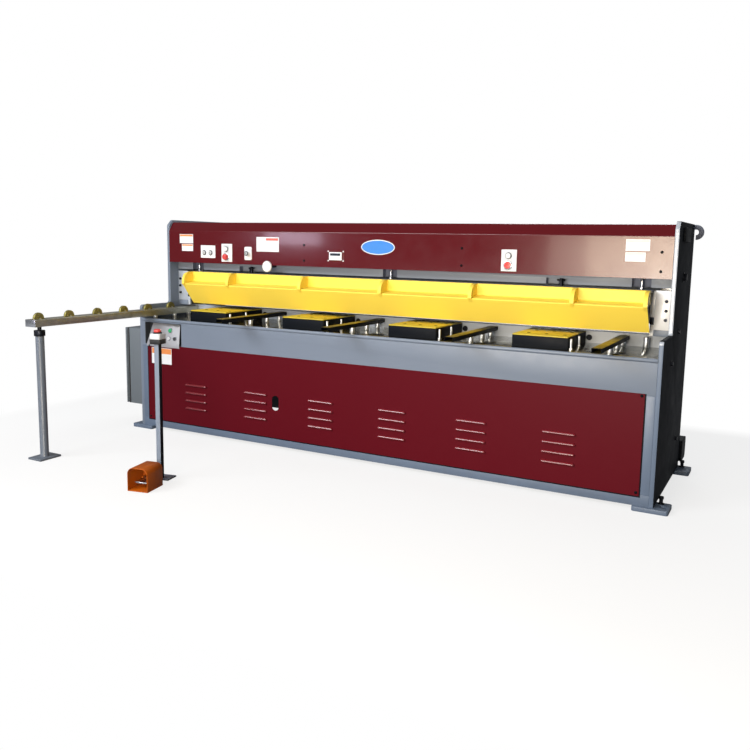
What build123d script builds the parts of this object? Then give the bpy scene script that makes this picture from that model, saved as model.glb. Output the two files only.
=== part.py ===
"""Power squaring shear: a floor-standing sheet-metal shear with a squaring arm and a foot pedal.

X runs to the operator's right, Z is up from the floor, and Y is the depth behind the bed's
front plane. save() moves every piece back by origin_depth, so that the written parts have
their origin on the floor in the middle of the four anchor holes.
"""
import os
from math import atan2, degrees

from build123d import *

# Overall frame
frame_length = 3500
side_thickness = 22
frame_depth = 906
frame_top = 1474
foot_height = 24
half_length = frame_length / 2
inner_half = half_length - side_thickness

# Side plates
throat_depth = 285
throat_ledge = 878
crown_chamfer = 38
side_corner_radius = 20

# Feet and anchor holes
foot_length = 180
foot_width = 140
foot_outreach = 76
front_foot_start = -18
rear_foot_end = 925
anchor_hole_radius = 11
foot_corner_radius = 8
front_anchor_depth = front_foot_start + foot_width / 2
rear_anchor_depth = rear_foot_end - foot_width / 2
anchor_reach = half_length + foot_outreach / 2
origin_depth = (front_anchor_depth + rear_anchor_depth) / 2

# Working height and bed
work_height = 860
shelf_top = 790
shelf_thickness = 22
shelf_nose = 7
bed_beam_front = 460
bed_beam_thickness = 50
bed_beam_bottom = 400
bed_flange_depth = 70
bed_flange_thickness = 25

# Front sheet work
sheet = 3
frame_sheet = 6
panel_top = 608
panel_bottom = 76
panel_half = 1677
panel_lap = 9

# Louvres in the lower panel
louvre_length = 186
louvre_depth = 13
louvre_chamfer = 8
louvre_pitch = 54
louvre_rows = 4
louvre_lowest = 186
louvre_slot = 9
louvre_columns = 6
louvre_column_pitch = 499
louvre_centre_x = 3
finger_hole_x = -588
finger_hole_z = 305
finger_hole_width = 52
finger_hole_height = 96

# Blades
blade_left = -1540
blade_right = 1610
lower_blade_thickness = 22
blade_height = 80
blade_gap = 0.3
blade_opening = 25
blade_rake = 63
blade_line = bed_beam_front + bed_beam_thickness + lower_blade_thickness

# Ram
ram_end_gap = 68
ram_half = inner_half - ram_end_gap
ram_thickness = 50
ram_bottom_lift = 30
ram_rib_depth = 40
ram_rib_thickness = 16
ram_rib_count = 7
ram_stroke = 95
guide_gap = 0.3
guide_bottom = 800
guide_lip = 20
guide_cover = 22

# Hold-down beam
hold_front = 340
hold_depth = 90
hold_bottom = 925
hold_top = 1085
hold_travel = 20
pad_radius = 28
pad_count = 12
hold_rod_radius = 10
hold_rod_gap = 0.3
hold_rod_depth = 120
hold_rods_x = (-1066, 1121)

# Crown
crown_front = 371
crown_depth = 67
crown_bottom = 1122
crown_panel_bottom = 1174
crown_roof = frame_top - 19
crown_bend = crown_roof - 60
crown_beam_top = crown_bend - 3
crown_roof_setback = 42
crown_roof_end = 640
ram_top = crown_roof - 125
guide_top = crown_roof - 15
wide_notches = ((-978, 368), (1100, 127))
wide_notch_height = 34
rod_notch_width = 100
rod_notch_height = 48
notch_depth = 40

# Finger guard
guard_left = -1515
guard_right = 1632
guard_top = 1112
guard_top_depth = 262
guard_ledge = 1044
guard_crease = 1030
guard_crease_depth = 174
guard_bottom = 886
guard_bottom_depth = 292
guard_sheet = 4
guard_flange_depth = 398
guard_rib_thickness = 22
guard_rib_nose = 4
guard_rib_drop = 24
guard_middle_bays = 4
guard_middle_pitch = 589
guard_centre_x = 60
guard_rod_radius = 8
guard_rods_x = (-1537, 29, 1562)
guard_rod_y = 385

# White end plates in the throat
end_plate_width = 90
end_plate_bottom = 896
end_plate_top = 1109
end_plate_depth = 371
end_block_width = 20
end_block_bottom = 864
end_block_top = 960
end_block_depth = 14
end_plate_thickness = 8

# Table blocks
block_pitch = 762
block_first_x = -1179
block_width = 306
block_front = 50
block_depth = 395
block_plate = 6
block_count = 4

# Support bars
bar_pitch = 773
bar_first_x = -842
bar_width = 50
bar_height = 26
bar_wall = 3
bar_front = -243
bar_top = 850
bar_rear_gap = 8
post_radius = 15
posts_y = (75, 255, 400)
end_post = (1600, 407)
standoff_radius = 7
standoff_nut_radius = 11
standoff_nut_height = 9
standoffs_y = (80, 250)

# Squaring arm
arm_centre_x = -1662
arm_width = 86
arm_height = 43
arm_top = 851
arm_front = -962
roller_radius = 35
roller_width = 16
roller_side_gap = 5
roller_rim_gap = 5
roller_rise = 4
roller_first_y = -904
roller_pitch = 223
roller_count = 6
axle_radius = 4
axle_gap = 0.05
tee_slot_width = 14
tee_slot_depth = 12
arm_posts_y = (60, 250, 400)
leg_y = -900
leg_radius = 25
leg_stud_radius = 12
collar_radius = 32
collar_height = 34
leg_plate_x = 110
leg_plate_y = 150
leg_plate_thickness = 12

# Electrical cabinet on the left side plate
cabinet_reach = 190
cabinet_front = 62
cabinet_width = 480
cabinet_bottom = 150
cabinet_top = 700
door_thickness = 16
door_gap = 6
hinge_pin_radius = 4
hinge_pin_gap = 0.05
hinge_barrel_radius = 8
hinge_length = 90
hinge_heights = (230, 600)

# Control pocket
pocket_left = -1703
pocket_right = -1373
pocket_top = 762
pocket_bottom = panel_top
pocket_depth = 50
pocket_wall = 3
control_plate_sheet = 2
control_plate_lean = 43
control_plate_bottom = panel_top - 14
control_plate_half = 150
control_plate_top_half = 122
pocket_button_radius = 14
pocket_buttons_at = ((-1489, 709), (-1491, 656), (-1438, 657), (-1590, 680))

# Push-button boxes on the crown panel
button_box_width = 92
button_box_height = 124
button_box_depth = 8
button_boxes_x = (-1200, 840)
button_box_z = 1249
button_radius = 14
button_height = 12
button_spread = 26

# Other things on the crown panel
oval_x = -12
oval_z = 1308
oval_width = 236
oval_height = 93
oval_thickness = 5
counter_x = -317
counter_z = 1247
counter_width = 124
counter_height = 72
counter_depth = 6
knob_x = -852
knob_radius = 38
knob_stem_radius = 8
knob_z = crown_panel_bottom - knob_stem_radius - 1
knob_back = throat_depth - 8
knob_depth = 14
selector_x = -1016
selector_z = 1249
selector_width = 60
selector_height = 90

# Pedestal with its stop button
pedestal_turn = 12
pedestal_x = -756
pedestal_y = -862
pedestal_post = 30
pedestal_plate_x = 110
pedestal_plate_y = 90
pedestal_plate_thickness = 8
pedestal_post_top = 768
stop_box = 66
stop_base_height = 26
stop_cap_height = 30
stop_stem_radius = 13
stop_stem_height = 8
stop_button_radius = 20
stop_button_height = 16

# Foot pedal
pedal_x = -715
pedal_y = -1020
pedal_width = 122
pedal_length = 150
pedal_height = 128
pedal_wall = 4
pedal_base = 6
pedal_arch_radius = 34
treadle_width = 70
treadle_length = 92
treadle_thickness = 8
treadle_pin_radius = 4
treadle_pin_gap = 0.05
treadle_height = 42
treadle_side_gap = 0.3
treadle_ear = 12

# Rear of the machine
rear_cover_top = 560
rear_inset = 18
chute_top = 760
chute_bottom = 575
chute_front = 530
tie_bar_depth = 80
tie_bar_bottom = 1200
tie_bar_top = 1290
gauge_arm_thickness = 25
gauge_arm_height = 70
gauge_arm_reach = 220
gauge_arms_x = (-1000, 1000)
gauge_arm_bottom = 1040
gauge_leg_width = 40
gauge_bar_thickness = 16
gauge_bar_height = 80
gauge_bar_bottom = 862
gauge_bar_half = 1500
gauge_bar_y = 720
motor_radius = 95
motor_length = 300
motor_y = 985
motor_z = 160
motor_bracket_thickness = 12
belt_cover_width = 98
belt_cover_outreach = 16
belt_cover_bottom = 48
belt_cover_top = 182
belt_cover_depth = 165
belt_cover_corner = 28
motor_x = half_length + belt_cover_outreach - belt_cover_width - motor_length / 2

# Blocks on the outer faces of the side plates
guide_block_front = 425
guide_block_depth = 220
guide_block_bottom = frame_top - 104
guide_block_height = 74
guide_block_thickness = 14

# Lifting hooks
hook_outer_radius = 43
hook_inner_radius = 16
hook_thickness = 24
hook_bar = 13
hook_y = 868
hook_top = frame_top - 3


def box(x_span, y_span, z_span):
    """A block between two places on each axis."""
    x0, x1 = x_span
    y0, y1 = y_span
    z0, z1 = z_span
    corner = (Align.MIN, Align.MIN, Align.MIN)
    return Pos(x0, y0, z0) * Box(x1 - x0, y1 - y0, z1 - z0, align=corner)


def rod_x(radius, x_span, y, z):
    """A round bar along X."""
    x0, x1 = x_span
    centre = Pos((x0 + x1) / 2, y, z)
    return centre * Rot(0, 90, 0) * Cylinder(radius, x1 - x0)


def rod_y(radius, x, y_span, z):
    """A round bar along Y."""
    y0, y1 = y_span
    centre = Pos(x, (y0 + y1) / 2, z)
    return centre * Rot(90, 0, 0) * Cylinder(radius, y1 - y0)


def rod_z(radius, x, y, z_span):
    """A round bar along Z."""
    z0, z1 = z_span
    return Pos(x, y, (z0 + z1) / 2) * Cylinder(radius, z1 - z0)


def prism_x(points, x_span):
    """A (y, z) outline run along X."""
    x0, x1 = x_span
    outline = Plane.YZ.offset(x0) * make_face(Polyline(*points, close=True))
    return extrude(outline, amount=x1 - x0)


def prism_y(points, y_span):
    """An (x, z) outline run along Y."""
    y0, y1 = y_span
    outline = Plane.XZ.offset(-y0) * make_face(Polyline(*points, close=True))
    return extrude(outline, amount=y0 - y1)


def bent_sheet(points, thickness, x_span, bend, side):
    """A sheet bent along a (y, z) line, with its thickness on one side of the line."""
    x0, x1 = x_span
    line = FilletPolyline(*points, radius=bend)
    outline = make_face(offset(line, amount=thickness, side=side, closed=True))
    return extrude(Plane.YZ.offset(x0) * outline, amount=x1 - x0)


def cut_corners(solid, axis, size):
    """The solid with its edges along one axis chamfered."""
    return chamfer(solid.edges().filter_by(axis), size)


def side_plate(left):
    """A side plate with its throat step, standing on its feet."""
    points = [
        (0, foot_height),
        (0, throat_ledge),
        (throat_depth, throat_ledge),
        (throat_depth, frame_top - crown_chamfer),
        (throat_depth + crown_chamfer, frame_top),
        (frame_depth, frame_top),
        (frame_depth, foot_height),
    ]
    x0 = -half_length if left else inner_half
    plate = prism_x(points, (x0, x0 + side_thickness))
    edges = plate.edges().filter_by(Axis.X)
    top_edges = edges.filter_by_position(Axis.Z, throat_ledge - 1, frame_top + 1)
    return fillet(top_edges, side_corner_radius)


def foot_plates():
    """Four floor plates with one anchor hole each."""
    feet = []
    for side in (-1, 1):
        for start in (front_foot_start, rear_foot_end - foot_width):
            outer = side * (half_length + foot_outreach)
            inner = outer - side * foot_length
            span = (min(inner, outer), max(inner, outer))
            foot = box(span, (start, start + foot_width), (0, foot_height))
            foot = cut_corners(foot, Axis.Z, foot_corner_radius)
            middle = start + foot_width / 2
            foot -= rod_z(anchor_hole_radius, side * anchor_reach, middle, (0, foot_height))
            feet.append(foot)
    return feet


def table_shelf():
    """The shelf in front of the bed beam, with its rounded front edge."""
    shelf = box((-inner_half, inner_half), (-shelf_nose, bed_beam_front),
                (shelf_top - shelf_thickness, shelf_top))
    front = shelf.edges().filter_by(Axis.X).sort_by(Axis.Y)[:2]
    return fillet(front, shelf_thickness / 2 - 1)


def bed_apron():
    """The front sheet between the shelf and the lower panel, cut away for the control pocket."""
    apron = box((-inner_half, inner_half), (0, frame_sheet),
                (panel_top - panel_lap, shelf_top - shelf_thickness))
    return apron - box((pocket_left, pocket_right), (0, frame_sheet), (pocket_bottom, pocket_top))


def bed_bottom_rail():
    """The rail under the lower panel."""
    rail_top = panel_bottom + panel_lap
    points = [
        (0, foot_height),
        (0, rail_top),
        (frame_sheet, rail_top),
        (frame_sheet, foot_height + frame_sheet),
        (foot_width, foot_height + frame_sheet),
        (foot_width, foot_height),
    ]
    return prism_x(points, (-inner_half, inner_half))


def bed_stiles():
    """The upright strips at both ends of the lower panel."""
    stiles = []
    for side in (-1, 1):
        span = sorted((side * inner_half, side * (panel_half - panel_lap)))
        z_span = (panel_bottom + panel_lap, panel_top - panel_lap)
        stiles.append(box(span, (0, frame_sheet), z_span))
    return stiles


def louvre(x, z):
    """A pressed hood with sloping ends, open below, with its back in the panel's front."""

    def pod(inset):
        half = louvre_length / 2 - inset
        reach = louvre_depth - inset
        block = box((x - half, x + half), (-sheet - reach, -sheet), (z, z + reach))
        front = block.edges().filter_by_position(Axis.Y, -sheet - reach - 1, -sheet - reach + 1)
        low = front.sort_by(Axis.Z)[0]
        return chamfer([edge for edge in front if edge != low], louvre_chamfer - inset)

    return pod(0) - pod(sheet / 2)


def lower_panel():
    """The louvred front panel with its oblong finger hole."""
    panel = box((-panel_half, panel_half), (-sheet, 0), (panel_bottom, panel_top))
    first = louvre_centre_x - (louvre_columns - 1) / 2 * louvre_column_pitch
    slots = []
    hoods = []
    for column in range(louvre_columns):
        x = first + column * louvre_column_pitch
        for row in range(louvre_rows):
            z = louvre_lowest + row * louvre_pitch
            half = louvre_length / 2 - louvre_depth
            slots.append(box((x - half, x + half), (-sheet, 0), (z, z + louvre_slot)))
            hoods.append(louvre(x, z))
    panel -= slots
    hole = prism_y([
        (finger_hole_x - finger_hole_width / 2, finger_hole_z - finger_hole_height / 2),
        (finger_hole_x - finger_hole_width / 2, finger_hole_z + finger_hole_height / 2),
        (finger_hole_x + finger_hole_width / 2, finger_hole_z + finger_hole_height / 2),
        (finger_hole_x + finger_hole_width / 2, finger_hole_z - finger_hole_height / 2),
    ], (-sheet, 0))
    panel -= fillet(hole.edges().filter_by(Axis.Y), finger_hole_width / 2 - 1)
    return panel + hoods


def bed_beam():
    """The deep bed beam that carries the lower blade, with a flange along its foot."""
    web = box((-inner_half, inner_half), (bed_beam_front, bed_beam_front + bed_beam_thickness),
              (bed_beam_bottom, work_height))
    flange = box((-inner_half, inner_half),
                 (bed_beam_front - bed_flange_depth, bed_beam_front),
                 (bed_beam_bottom, bed_beam_bottom + bed_flange_thickness))
    return web + flange


def lower_blade():
    """The straight lower blade on the beam's rear face."""
    return box((blade_left, blade_right), (blade_line - lower_blade_thickness, blade_line),
               (work_height - blade_height, work_height))


def blade_edge(x):
    """The height of the upper blade's raked edge at rest."""
    share = (x - blade_left) / (blade_right - blade_left)
    return work_height + blade_opening + share * blade_rake


def upper_blade():
    """The raked upper blade."""
    points = [
        (blade_left, blade_edge(blade_left)),
        (blade_right, blade_edge(blade_right)),
        (blade_right, blade_edge(blade_right) + blade_height),
        (blade_left, blade_edge(blade_left) + blade_height),
    ]
    front = blade_line + blade_gap
    return prism_y(points, (front, front + lower_blade_thickness))


def ram_front():
    """The depth of the ram's front face."""
    return blade_line + blade_gap + lower_blade_thickness


def ram():
    """The ram plate with its raked foot, stiffening ribs and top flange."""
    points = [
        (-ram_half, blade_edge(-ram_half) + ram_bottom_lift),
        (ram_half, blade_edge(ram_half) + ram_bottom_lift),
        (ram_half, ram_top),
        (-ram_half, ram_top),
    ]
    rear = ram_front() + ram_thickness
    beam = prism_y(points, (ram_front(), rear))
    rib_half = ram_half - 2 * (guide_cover + guide_lip)
    rib_pitch = 2 * rib_half / (ram_rib_count - 1)
    bottom = blade_edge(ram_half) + 2 * ram_bottom_lift
    for index in range(ram_rib_count):
        x = -rib_half + index * rib_pitch
        span = (x - ram_rib_thickness / 2, x + ram_rib_thickness / 2)
        taper = ram_rib_depth / 2
        beam += prism_x([(rear, bottom), (rear + taper, bottom), (rear + ram_rib_depth, bottom + taper),
                         (rear + ram_rib_depth, ram_top), (rear, ram_top)], span)
    beam += box((-rib_half, rib_half), (rear, rear + ram_rib_depth),
                (ram_top - ram_rib_thickness, ram_top))
    return beam


def ram_guides():
    """The two grooved guides on the side plates."""
    front = ram_front() - guide_lip
    rear = ram_front() + ram_thickness + guide_lip
    guides = []
    for side in (-1, 1):
        inner = side * (ram_half - guide_cover)
        body = box(sorted((inner, side * inner_half)), (front, rear), (guide_bottom, guide_top))
        groove = box(sorted((inner, side * (ram_half + guide_gap))),
                     (ram_front() - guide_gap, ram_front() + ram_thickness + guide_gap),
                     (guide_bottom, guide_top))
        guides.append(body - groove)
    return guides


def hold_down_beam():
    """The hold-down beam with its round pads and its two hanging rods."""
    pad_bottom = work_height + blade_opening
    middle = hold_front + hold_depth / 2
    beam = box((blade_left, blade_right), (hold_front, hold_front + hold_depth),
               (hold_bottom, hold_top))
    beam = cut_corners(beam, Axis.X, 8)
    inset = pad_radius * 3
    pitch = (blade_right - blade_left - 2 * inset) / (pad_count - 1)
    for index in range(pad_count):
        x = blade_left + inset + index * pitch
        beam += rod_z(pad_radius, x, middle, (pad_bottom, hold_bottom))
    for x in hold_rods_x:
        beam += rod_z(hold_rod_radius, x, middle, (hold_top, crown_bottom + hold_rod_depth))
    return beam


def crown_beam():
    """The fixed cross beam of the crown, notched below for the guard rods and hold-down bolts."""
    beam = box((-inner_half, inner_half), (crown_front, crown_front + crown_depth),
               (crown_bottom, crown_beam_top))
    cuts = []
    for x, width in wide_notches:
        cuts.append(box((x - width / 2, x + width / 2), (crown_front, crown_front + notch_depth),
                        (crown_bottom, crown_bottom + wide_notch_height)))
    for x in hold_rods_x:
        bore_top = crown_bottom + hold_rod_depth + 2 * hold_travel
        cuts.append(rod_z(hold_rod_radius + hold_rod_gap, x, hold_front + hold_depth / 2,
                          (crown_bottom, bore_top)))
    for x in guard_rods_x:
        cuts.append(box((x - rod_notch_width / 2, x + rod_notch_width / 2),
                        (crown_front, crown_front + notch_depth),
                        (crown_bottom, crown_bottom + rod_notch_height)))
    return beam - cuts


def crown_panel():
    """The crown's front sheet, bent back over the roof."""
    front = throat_depth
    points = [
        (front, crown_panel_bottom),
        (front, crown_bend),
        (front + crown_roof_setback, crown_roof),
        (crown_roof_end, crown_roof),
        (crown_roof_end, crown_roof - crown_roof_setback),
    ]
    return bent_sheet(points, sheet, (-inner_half, inner_half), 6, Side.RIGHT)


def finger_guard():
    """The yellow guard: an upright sheet with a ledge, a face sloping in below it, and seven ribs.

    Its top flange is notched where the hold-down rods pass, and carries a tab for the left rod.
    """
    points = [
        (guard_flange_depth, guard_top),
        (guard_top_depth, guard_top),
        (guard_top_depth, guard_ledge),
        (guard_crease_depth, guard_crease),
        (guard_bottom_depth, guard_bottom),
    ]
    guard = bent_sheet(points, guard_sheet, (guard_left, guard_right), 8, Side.LEFT)
    first = guard_centre_x - guard_middle_bays / 2 * guard_middle_pitch
    places = [guard_left + guard_rib_thickness / 2]
    for index in range(guard_middle_bays + 1):
        places.append(first + index * guard_middle_pitch)
    places.append(guard_right - guard_rib_thickness / 2)
    for x in places:
        guard += guard_rib(x)
    guard += box((guard_rods_x[0] - 2 * guard_rod_radius, guard_left + 10),
                 (guard_rod_y - 3 * guard_rod_radius, guard_flange_depth),
                 (guard_top - guard_sheet, guard_top))
    slot = hold_rod_radius + 10
    slots = []
    for x in hold_rods_x:
        slots.append(box((x - slot, x + slot), (hold_front, guard_flange_depth + 1),
                         (guard_top - 2 * guard_sheet, guard_top + guard_sheet)))
    return guard - slots


def guard_rib(x):
    """A rib with a curved nose, from the guard's top edge over its ledge to just under the crease."""
    seat = guard_sheet / 2
    top = (guard_top_depth + seat, guard_top)
    bulge = (guard_crease_depth + 18, guard_top - 24)
    nose = (guard_crease_depth - guard_rib_nose, guard_crease)
    share = guard_rib_drop / (guard_crease - guard_bottom)
    foot = (guard_crease_depth + share * (guard_bottom_depth - guard_crease_depth) + seat,
            guard_crease - guard_rib_drop)
    heel = (guard_crease_depth + 2 * guard_sheet, guard_crease - seat)
    inner = (guard_top_depth + seat, guard_ledge - seat)
    edge = ThreePointArc(top, bulge, nose)
    back = Polyline(nose, foot, heel, inner, top)
    outline = Plane.YZ.offset(x - guard_rib_thickness / 2) * make_face(edge + back)
    return extrude(outline, amount=guard_rib_thickness)


def guard_rods():
    """The rods that hang the guard from the crown beam."""
    rods = []
    for x in guard_rods_x:
        rods.append(rod_z(guard_rod_radius, x, guard_rod_y,
                          (guard_top, crown_bottom + rod_notch_height)))
    return rods


def end_plates():
    """The white plates that close the throat at both ends."""
    plates = []
    for side in (-1, 1):
        span = sorted((side * inner_half, side * (inner_half - end_plate_width)))
        plate = box(span, (end_plate_depth, end_plate_depth + end_plate_thickness),
                    (end_plate_bottom, end_plate_top))
        inner = inner_half - end_plate_width
        stop = box(sorted((side * inner, side * (inner - end_block_width))),
                   (end_plate_depth, end_plate_depth + end_block_depth),
                   (end_block_bottom, end_block_top))
        plates.append(plate + stop)
    return plates


def block_x(index):
    """The middle of a table block."""
    return block_first_x + index * block_pitch


def table_block(index):
    """A black table block on the shelf, hollow below."""
    x = block_x(index)
    top = work_height - block_plate
    half = block_width / 2
    body = box((x - half, x + half), (block_front, block_front + block_depth), (shelf_top, top))
    wall = 12
    hollow = box((x - half + wall, x + half - wall),
                 (block_front + wall, block_front + block_depth - wall), (shelf_top, top - wall))
    return body - hollow


def block_plates():
    """The yellow top plates of the table blocks."""
    plates = []
    for index in range(block_count):
        x = block_x(index)
        plate = box((x - block_width / 2, x + block_width / 2),
                    (block_front, block_front + block_depth),
                    (work_height - block_plate, work_height))
        plates.append(cut_corners(plate, Axis.Z, 3))
    return plates


def block_standoffs():
    """The bright jack screws beside each table block."""
    screws = []
    for index in range(block_count):
        x = block_x(index) + block_width / 2 + standoff_nut_radius
        for y in standoffs_y:
            stud = rod_z(standoff_radius, x, y, (shelf_top, work_height - 2 * block_plate))
            hexagon = RegularPolygon(standoff_nut_radius, 6)
            nut = Pos(x, y, shelf_top) * extrude(hexagon, amount=standoff_nut_height)
            screws.append(stud + nut)
    return screws


def bar_x(index):
    """The middle of a support bar."""
    return bar_first_x + index * bar_pitch


def support_bar(index):
    """A rectangular tube that carries the sheet in front of the table."""
    x = bar_x(index)
    half = bar_width / 2
    y_span = (bar_front, bed_beam_front - bar_rear_gap)
    tube = box((x - half, x + half), y_span, (bar_top - bar_height, bar_top))
    tube = cut_corners(tube, Axis.Y, 2)
    inside = box((x - half + bar_wall, x + half - bar_wall), y_span,
                 (bar_top - bar_height + bar_wall, bar_top - bar_wall))
    return tube - inside


def support_posts():
    """The bright round posts under the support bars and the squaring arm."""
    posts = []
    for index in range(block_count):
        for y in posts_y:
            posts.append(rod_z(post_radius, bar_x(index), y, (shelf_top, bar_top - bar_height)))
    for y in arm_posts_y:
        posts.append(rod_z(post_radius, arm_centre_x, y, (shelf_top, arm_top - arm_height)))
    x, y = end_post
    posts.append(rod_z(post_radius, x, y, (shelf_top, bar_top)))
    return posts


def roller_y(index):
    """The depth of a roller's axle."""
    return roller_first_y + index * roller_pitch


def squaring_arm():
    """The squaring arm with a pocket for each roller and a tee slot towards the blade."""
    half = arm_width / 2
    arm = box((arm_centre_x - half, arm_centre_x + half), (arm_front, bed_beam_front),
              (arm_top - arm_height, arm_top))
    arm = chamfer(arm.edges().filter_by(Axis.Y).group_by(Axis.Z)[-1], 2)
    pocket_half = roller_width / 2 + roller_side_gap
    reach = roller_radius + roller_rim_gap
    cuts = []
    for index in range(roller_count):
        y = roller_y(index)
        cuts.append(box((arm_centre_x - pocket_half, arm_centre_x + pocket_half),
                        (y - reach, y + reach),
                        (arm_top + roller_rise - reach, arm_top)))
    slot_start = roller_y(roller_count - 1) + 2 * reach
    cuts.append(box((arm_centre_x - tee_slot_width / 2, arm_centre_x + tee_slot_width / 2),
                    (slot_start, bed_beam_front), (arm_top - tee_slot_depth, arm_top)))
    arm -= cuts
    for index in range(roller_count):
        arm += roller_bracket(index)
    return arm


def roller_bracket(index):
    """Two small uprights beside a roller, with the pin that carries it."""
    cheek = 6
    y = roller_y(index)
    z = arm_top + roller_rise
    reach = 1.5 * axle_radius
    inner = roller_width / 2 + roller_side_gap
    pin = (arm_centre_x - inner, arm_centre_x + inner)
    bracket = rod_x(axle_radius, pin, y, z)
    for side in (-1, 1):
        span = sorted((arm_centre_x + side * inner, arm_centre_x + side * (inner + cheek)))
        ear = box(span, (y - reach, y + reach), (arm_top - cheek, z + reach))
        top = ear.edges().filter_by(Axis.X).group_by(Axis.Z)[-1]
        bracket += chamfer(top, axle_radius)
    return bracket


def arm_roller(index):
    """A roller disc with a bore on its pin."""
    half = roller_width / 2
    disc = rod_x(roller_radius, (arm_centre_x - half, arm_centre_x + half),
                 roller_y(index), arm_top + roller_rise)
    return disc - rod_x(axle_radius + axle_gap, (arm_centre_x - half, arm_centre_x + half),
                        roller_y(index), arm_top + roller_rise)


def arm_leg():
    """The squaring arm's leg on its floor plate."""
    collar_bottom = arm_top - arm_height - 24 - collar_height
    leg = rod_z(leg_radius, arm_centre_x, leg_y, (leg_plate_thickness, collar_bottom))
    plate = box((arm_centre_x - leg_plate_x / 2, arm_centre_x + leg_plate_x / 2),
                (leg_y - leg_plate_y / 2, leg_y + leg_plate_y / 2), (0, leg_plate_thickness))
    return leg + plate


def leg_collar():
    """The black collar and screw between the leg and the arm."""
    arm_bottom = arm_top - arm_height
    collar_bottom = arm_bottom - 24 - collar_height
    collar = rod_z(collar_radius, arm_centre_x, leg_y, (collar_bottom, collar_bottom + collar_height))
    stud = rod_z(leg_stud_radius, arm_centre_x, leg_y, (collar_bottom + collar_height, arm_bottom))
    return collar + stud


def cabinet_span():
    """The cabinet body's X span."""
    return (-half_length - cabinet_reach, -half_length)


def hinge_axis():
    """The cabinet hinge's place, level with the door's outer face."""
    x = -half_length - cabinet_reach - door_gap - door_thickness / 2
    y = cabinet_front + cabinet_width + hinge_barrel_radius + 2
    return x, y


def cabinet_body():
    """The electrical cabinet, with the fixed knuckles and pins of its hinges."""
    body = box(cabinet_span(), (cabinet_front, cabinet_front + cabinet_width),
               (cabinet_bottom, cabinet_top))
    body = chamfer(body.edges().filter_by(Axis.Z).group_by(Axis.X)[0], 4)
    x, y = hinge_axis()
    for z in hinge_heights:
        body += rod_z(hinge_pin_radius, x, y, (z, z + hinge_length / 2))
        knuckle = rod_z(hinge_barrel_radius, x, y, (z - hinge_length / 2, z))
        rear = cabinet_front + cabinet_width
        lug = box((x, -half_length - cabinet_reach + 30), (rear, y), (z - hinge_length / 2, z))
        body += knuckle + lug
    return body


def cabinet_door():
    """The cabinet's door with its hinge knuckles and a raised seal rim."""
    x0 = -half_length - cabinet_reach - door_gap - door_thickness
    door = box((x0, x0 + door_thickness), (cabinet_front, cabinet_front + cabinet_width),
               (cabinet_bottom, cabinet_top))
    door = chamfer(door.edges().group_by(Axis.X)[0], 4)
    x, y = hinge_axis()
    for z in hinge_heights:
        rear = cabinet_front + cabinet_width
        z_span = (z + 1, z + hinge_length / 2)
        knuckle = rod_z(hinge_barrel_radius, x, y, z_span)
        knuckle += box((x0 + 2, x), (rear - 2, y), z_span)
        knuckle -= rod_z(hinge_pin_radius + hinge_pin_gap, x, y, z_span)
        door += knuckle
    return door


def door_seal():
    """The dark seal strip between the cabinet and its door."""
    x1 = -half_length - cabinet_reach
    inset = 14
    return box((x1 - door_gap + 0.3, x1), (cabinet_front + inset, cabinet_front + cabinet_width - inset),
               (cabinet_bottom + inset, cabinet_top - inset))


def control_pocket():
    """The dark tray set into the apron, open to the front."""
    tray = box((pocket_left, pocket_right), (0, pocket_depth), (pocket_bottom, pocket_top))
    hollow = box((pocket_left + pocket_wall, pocket_right - pocket_wall),
                 (0, pocket_depth - pocket_wall),
                 (pocket_bottom + pocket_wall, pocket_top - pocket_wall))
    return tray - hollow


def control_plate_line():
    """The control plate's front line: a lip over the lower panel, then a slope up to the tray's roof."""
    front = -sheet - control_plate_sheet
    return [
        (front, control_plate_bottom),
        (front, pocket_bottom + 2),
        (front + control_plate_lean, pocket_top - pocket_wall),
    ]


def control_plate():
    """The leaning plate in the tray, narrower at the top."""
    middle = (pocket_left + pocket_right) / 2
    plate = bent_sheet(control_plate_line(), control_plate_sheet,
                       (pocket_left, pocket_right), 3, Side.RIGHT)
    outline = [
        (middle - control_plate_half, control_plate_bottom),
        (middle - control_plate_top_half, pocket_top),
        (middle + control_plate_top_half, pocket_top),
        (middle + control_plate_half, control_plate_bottom),
    ]
    return plate & prism_y(outline, (-pocket_depth, pocket_depth))


def pocket_buttons():
    """The control buttons, square to the leaning plate."""
    _, low, high = control_plate_line()
    lean = degrees(atan2(high[0] - low[0], high[1] - low[1]))
    buttons = []
    for x, z in pocket_buttons_at:
        y = low[0] + (z - low[1]) / (high[1] - low[1]) * (high[0] - low[0])
        button = rod_y(pocket_button_radius, 0, (-button_height, 0), 0)
        buttons.append(Pos(x, y, z) * Rot(-lean, 0, 0) * button)
    return buttons


def button_boxes():
    """The start and stop boxes on the crown panel."""
    boxes = []
    for x in button_boxes_x:
        half = button_box_width / 2
        body = box((x - half, x + half), (throat_depth - button_box_depth, throat_depth),
                   (button_box_z - button_box_height / 2, button_box_z + button_box_height / 2))
        boxes.append(chamfer(body.edges().group_by(Axis.Y)[0], 2))
    return boxes


def box_buttons():
    """The round buttons of the start and stop boxes."""
    buttons = []
    face = throat_depth - button_box_depth
    for x in button_boxes_x:
        for z in (button_box_z + button_spread, button_box_z - button_spread):
            buttons.append(rod_y(button_radius, x, (face - button_height, face), z))
    return buttons


def selector_plate():
    """The selector plate on the crown panel."""
    plate = box((selector_x - selector_width / 2, selector_x + selector_width / 2),
                (throat_depth - 8, throat_depth),
                (selector_z - selector_height / 2, selector_z + selector_height / 2))
    plate = cut_corners(plate, Axis.Y, 6)
    return plate + rod_y(17, selector_x, (throat_depth - 26, throat_depth - 8), selector_z)


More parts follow.
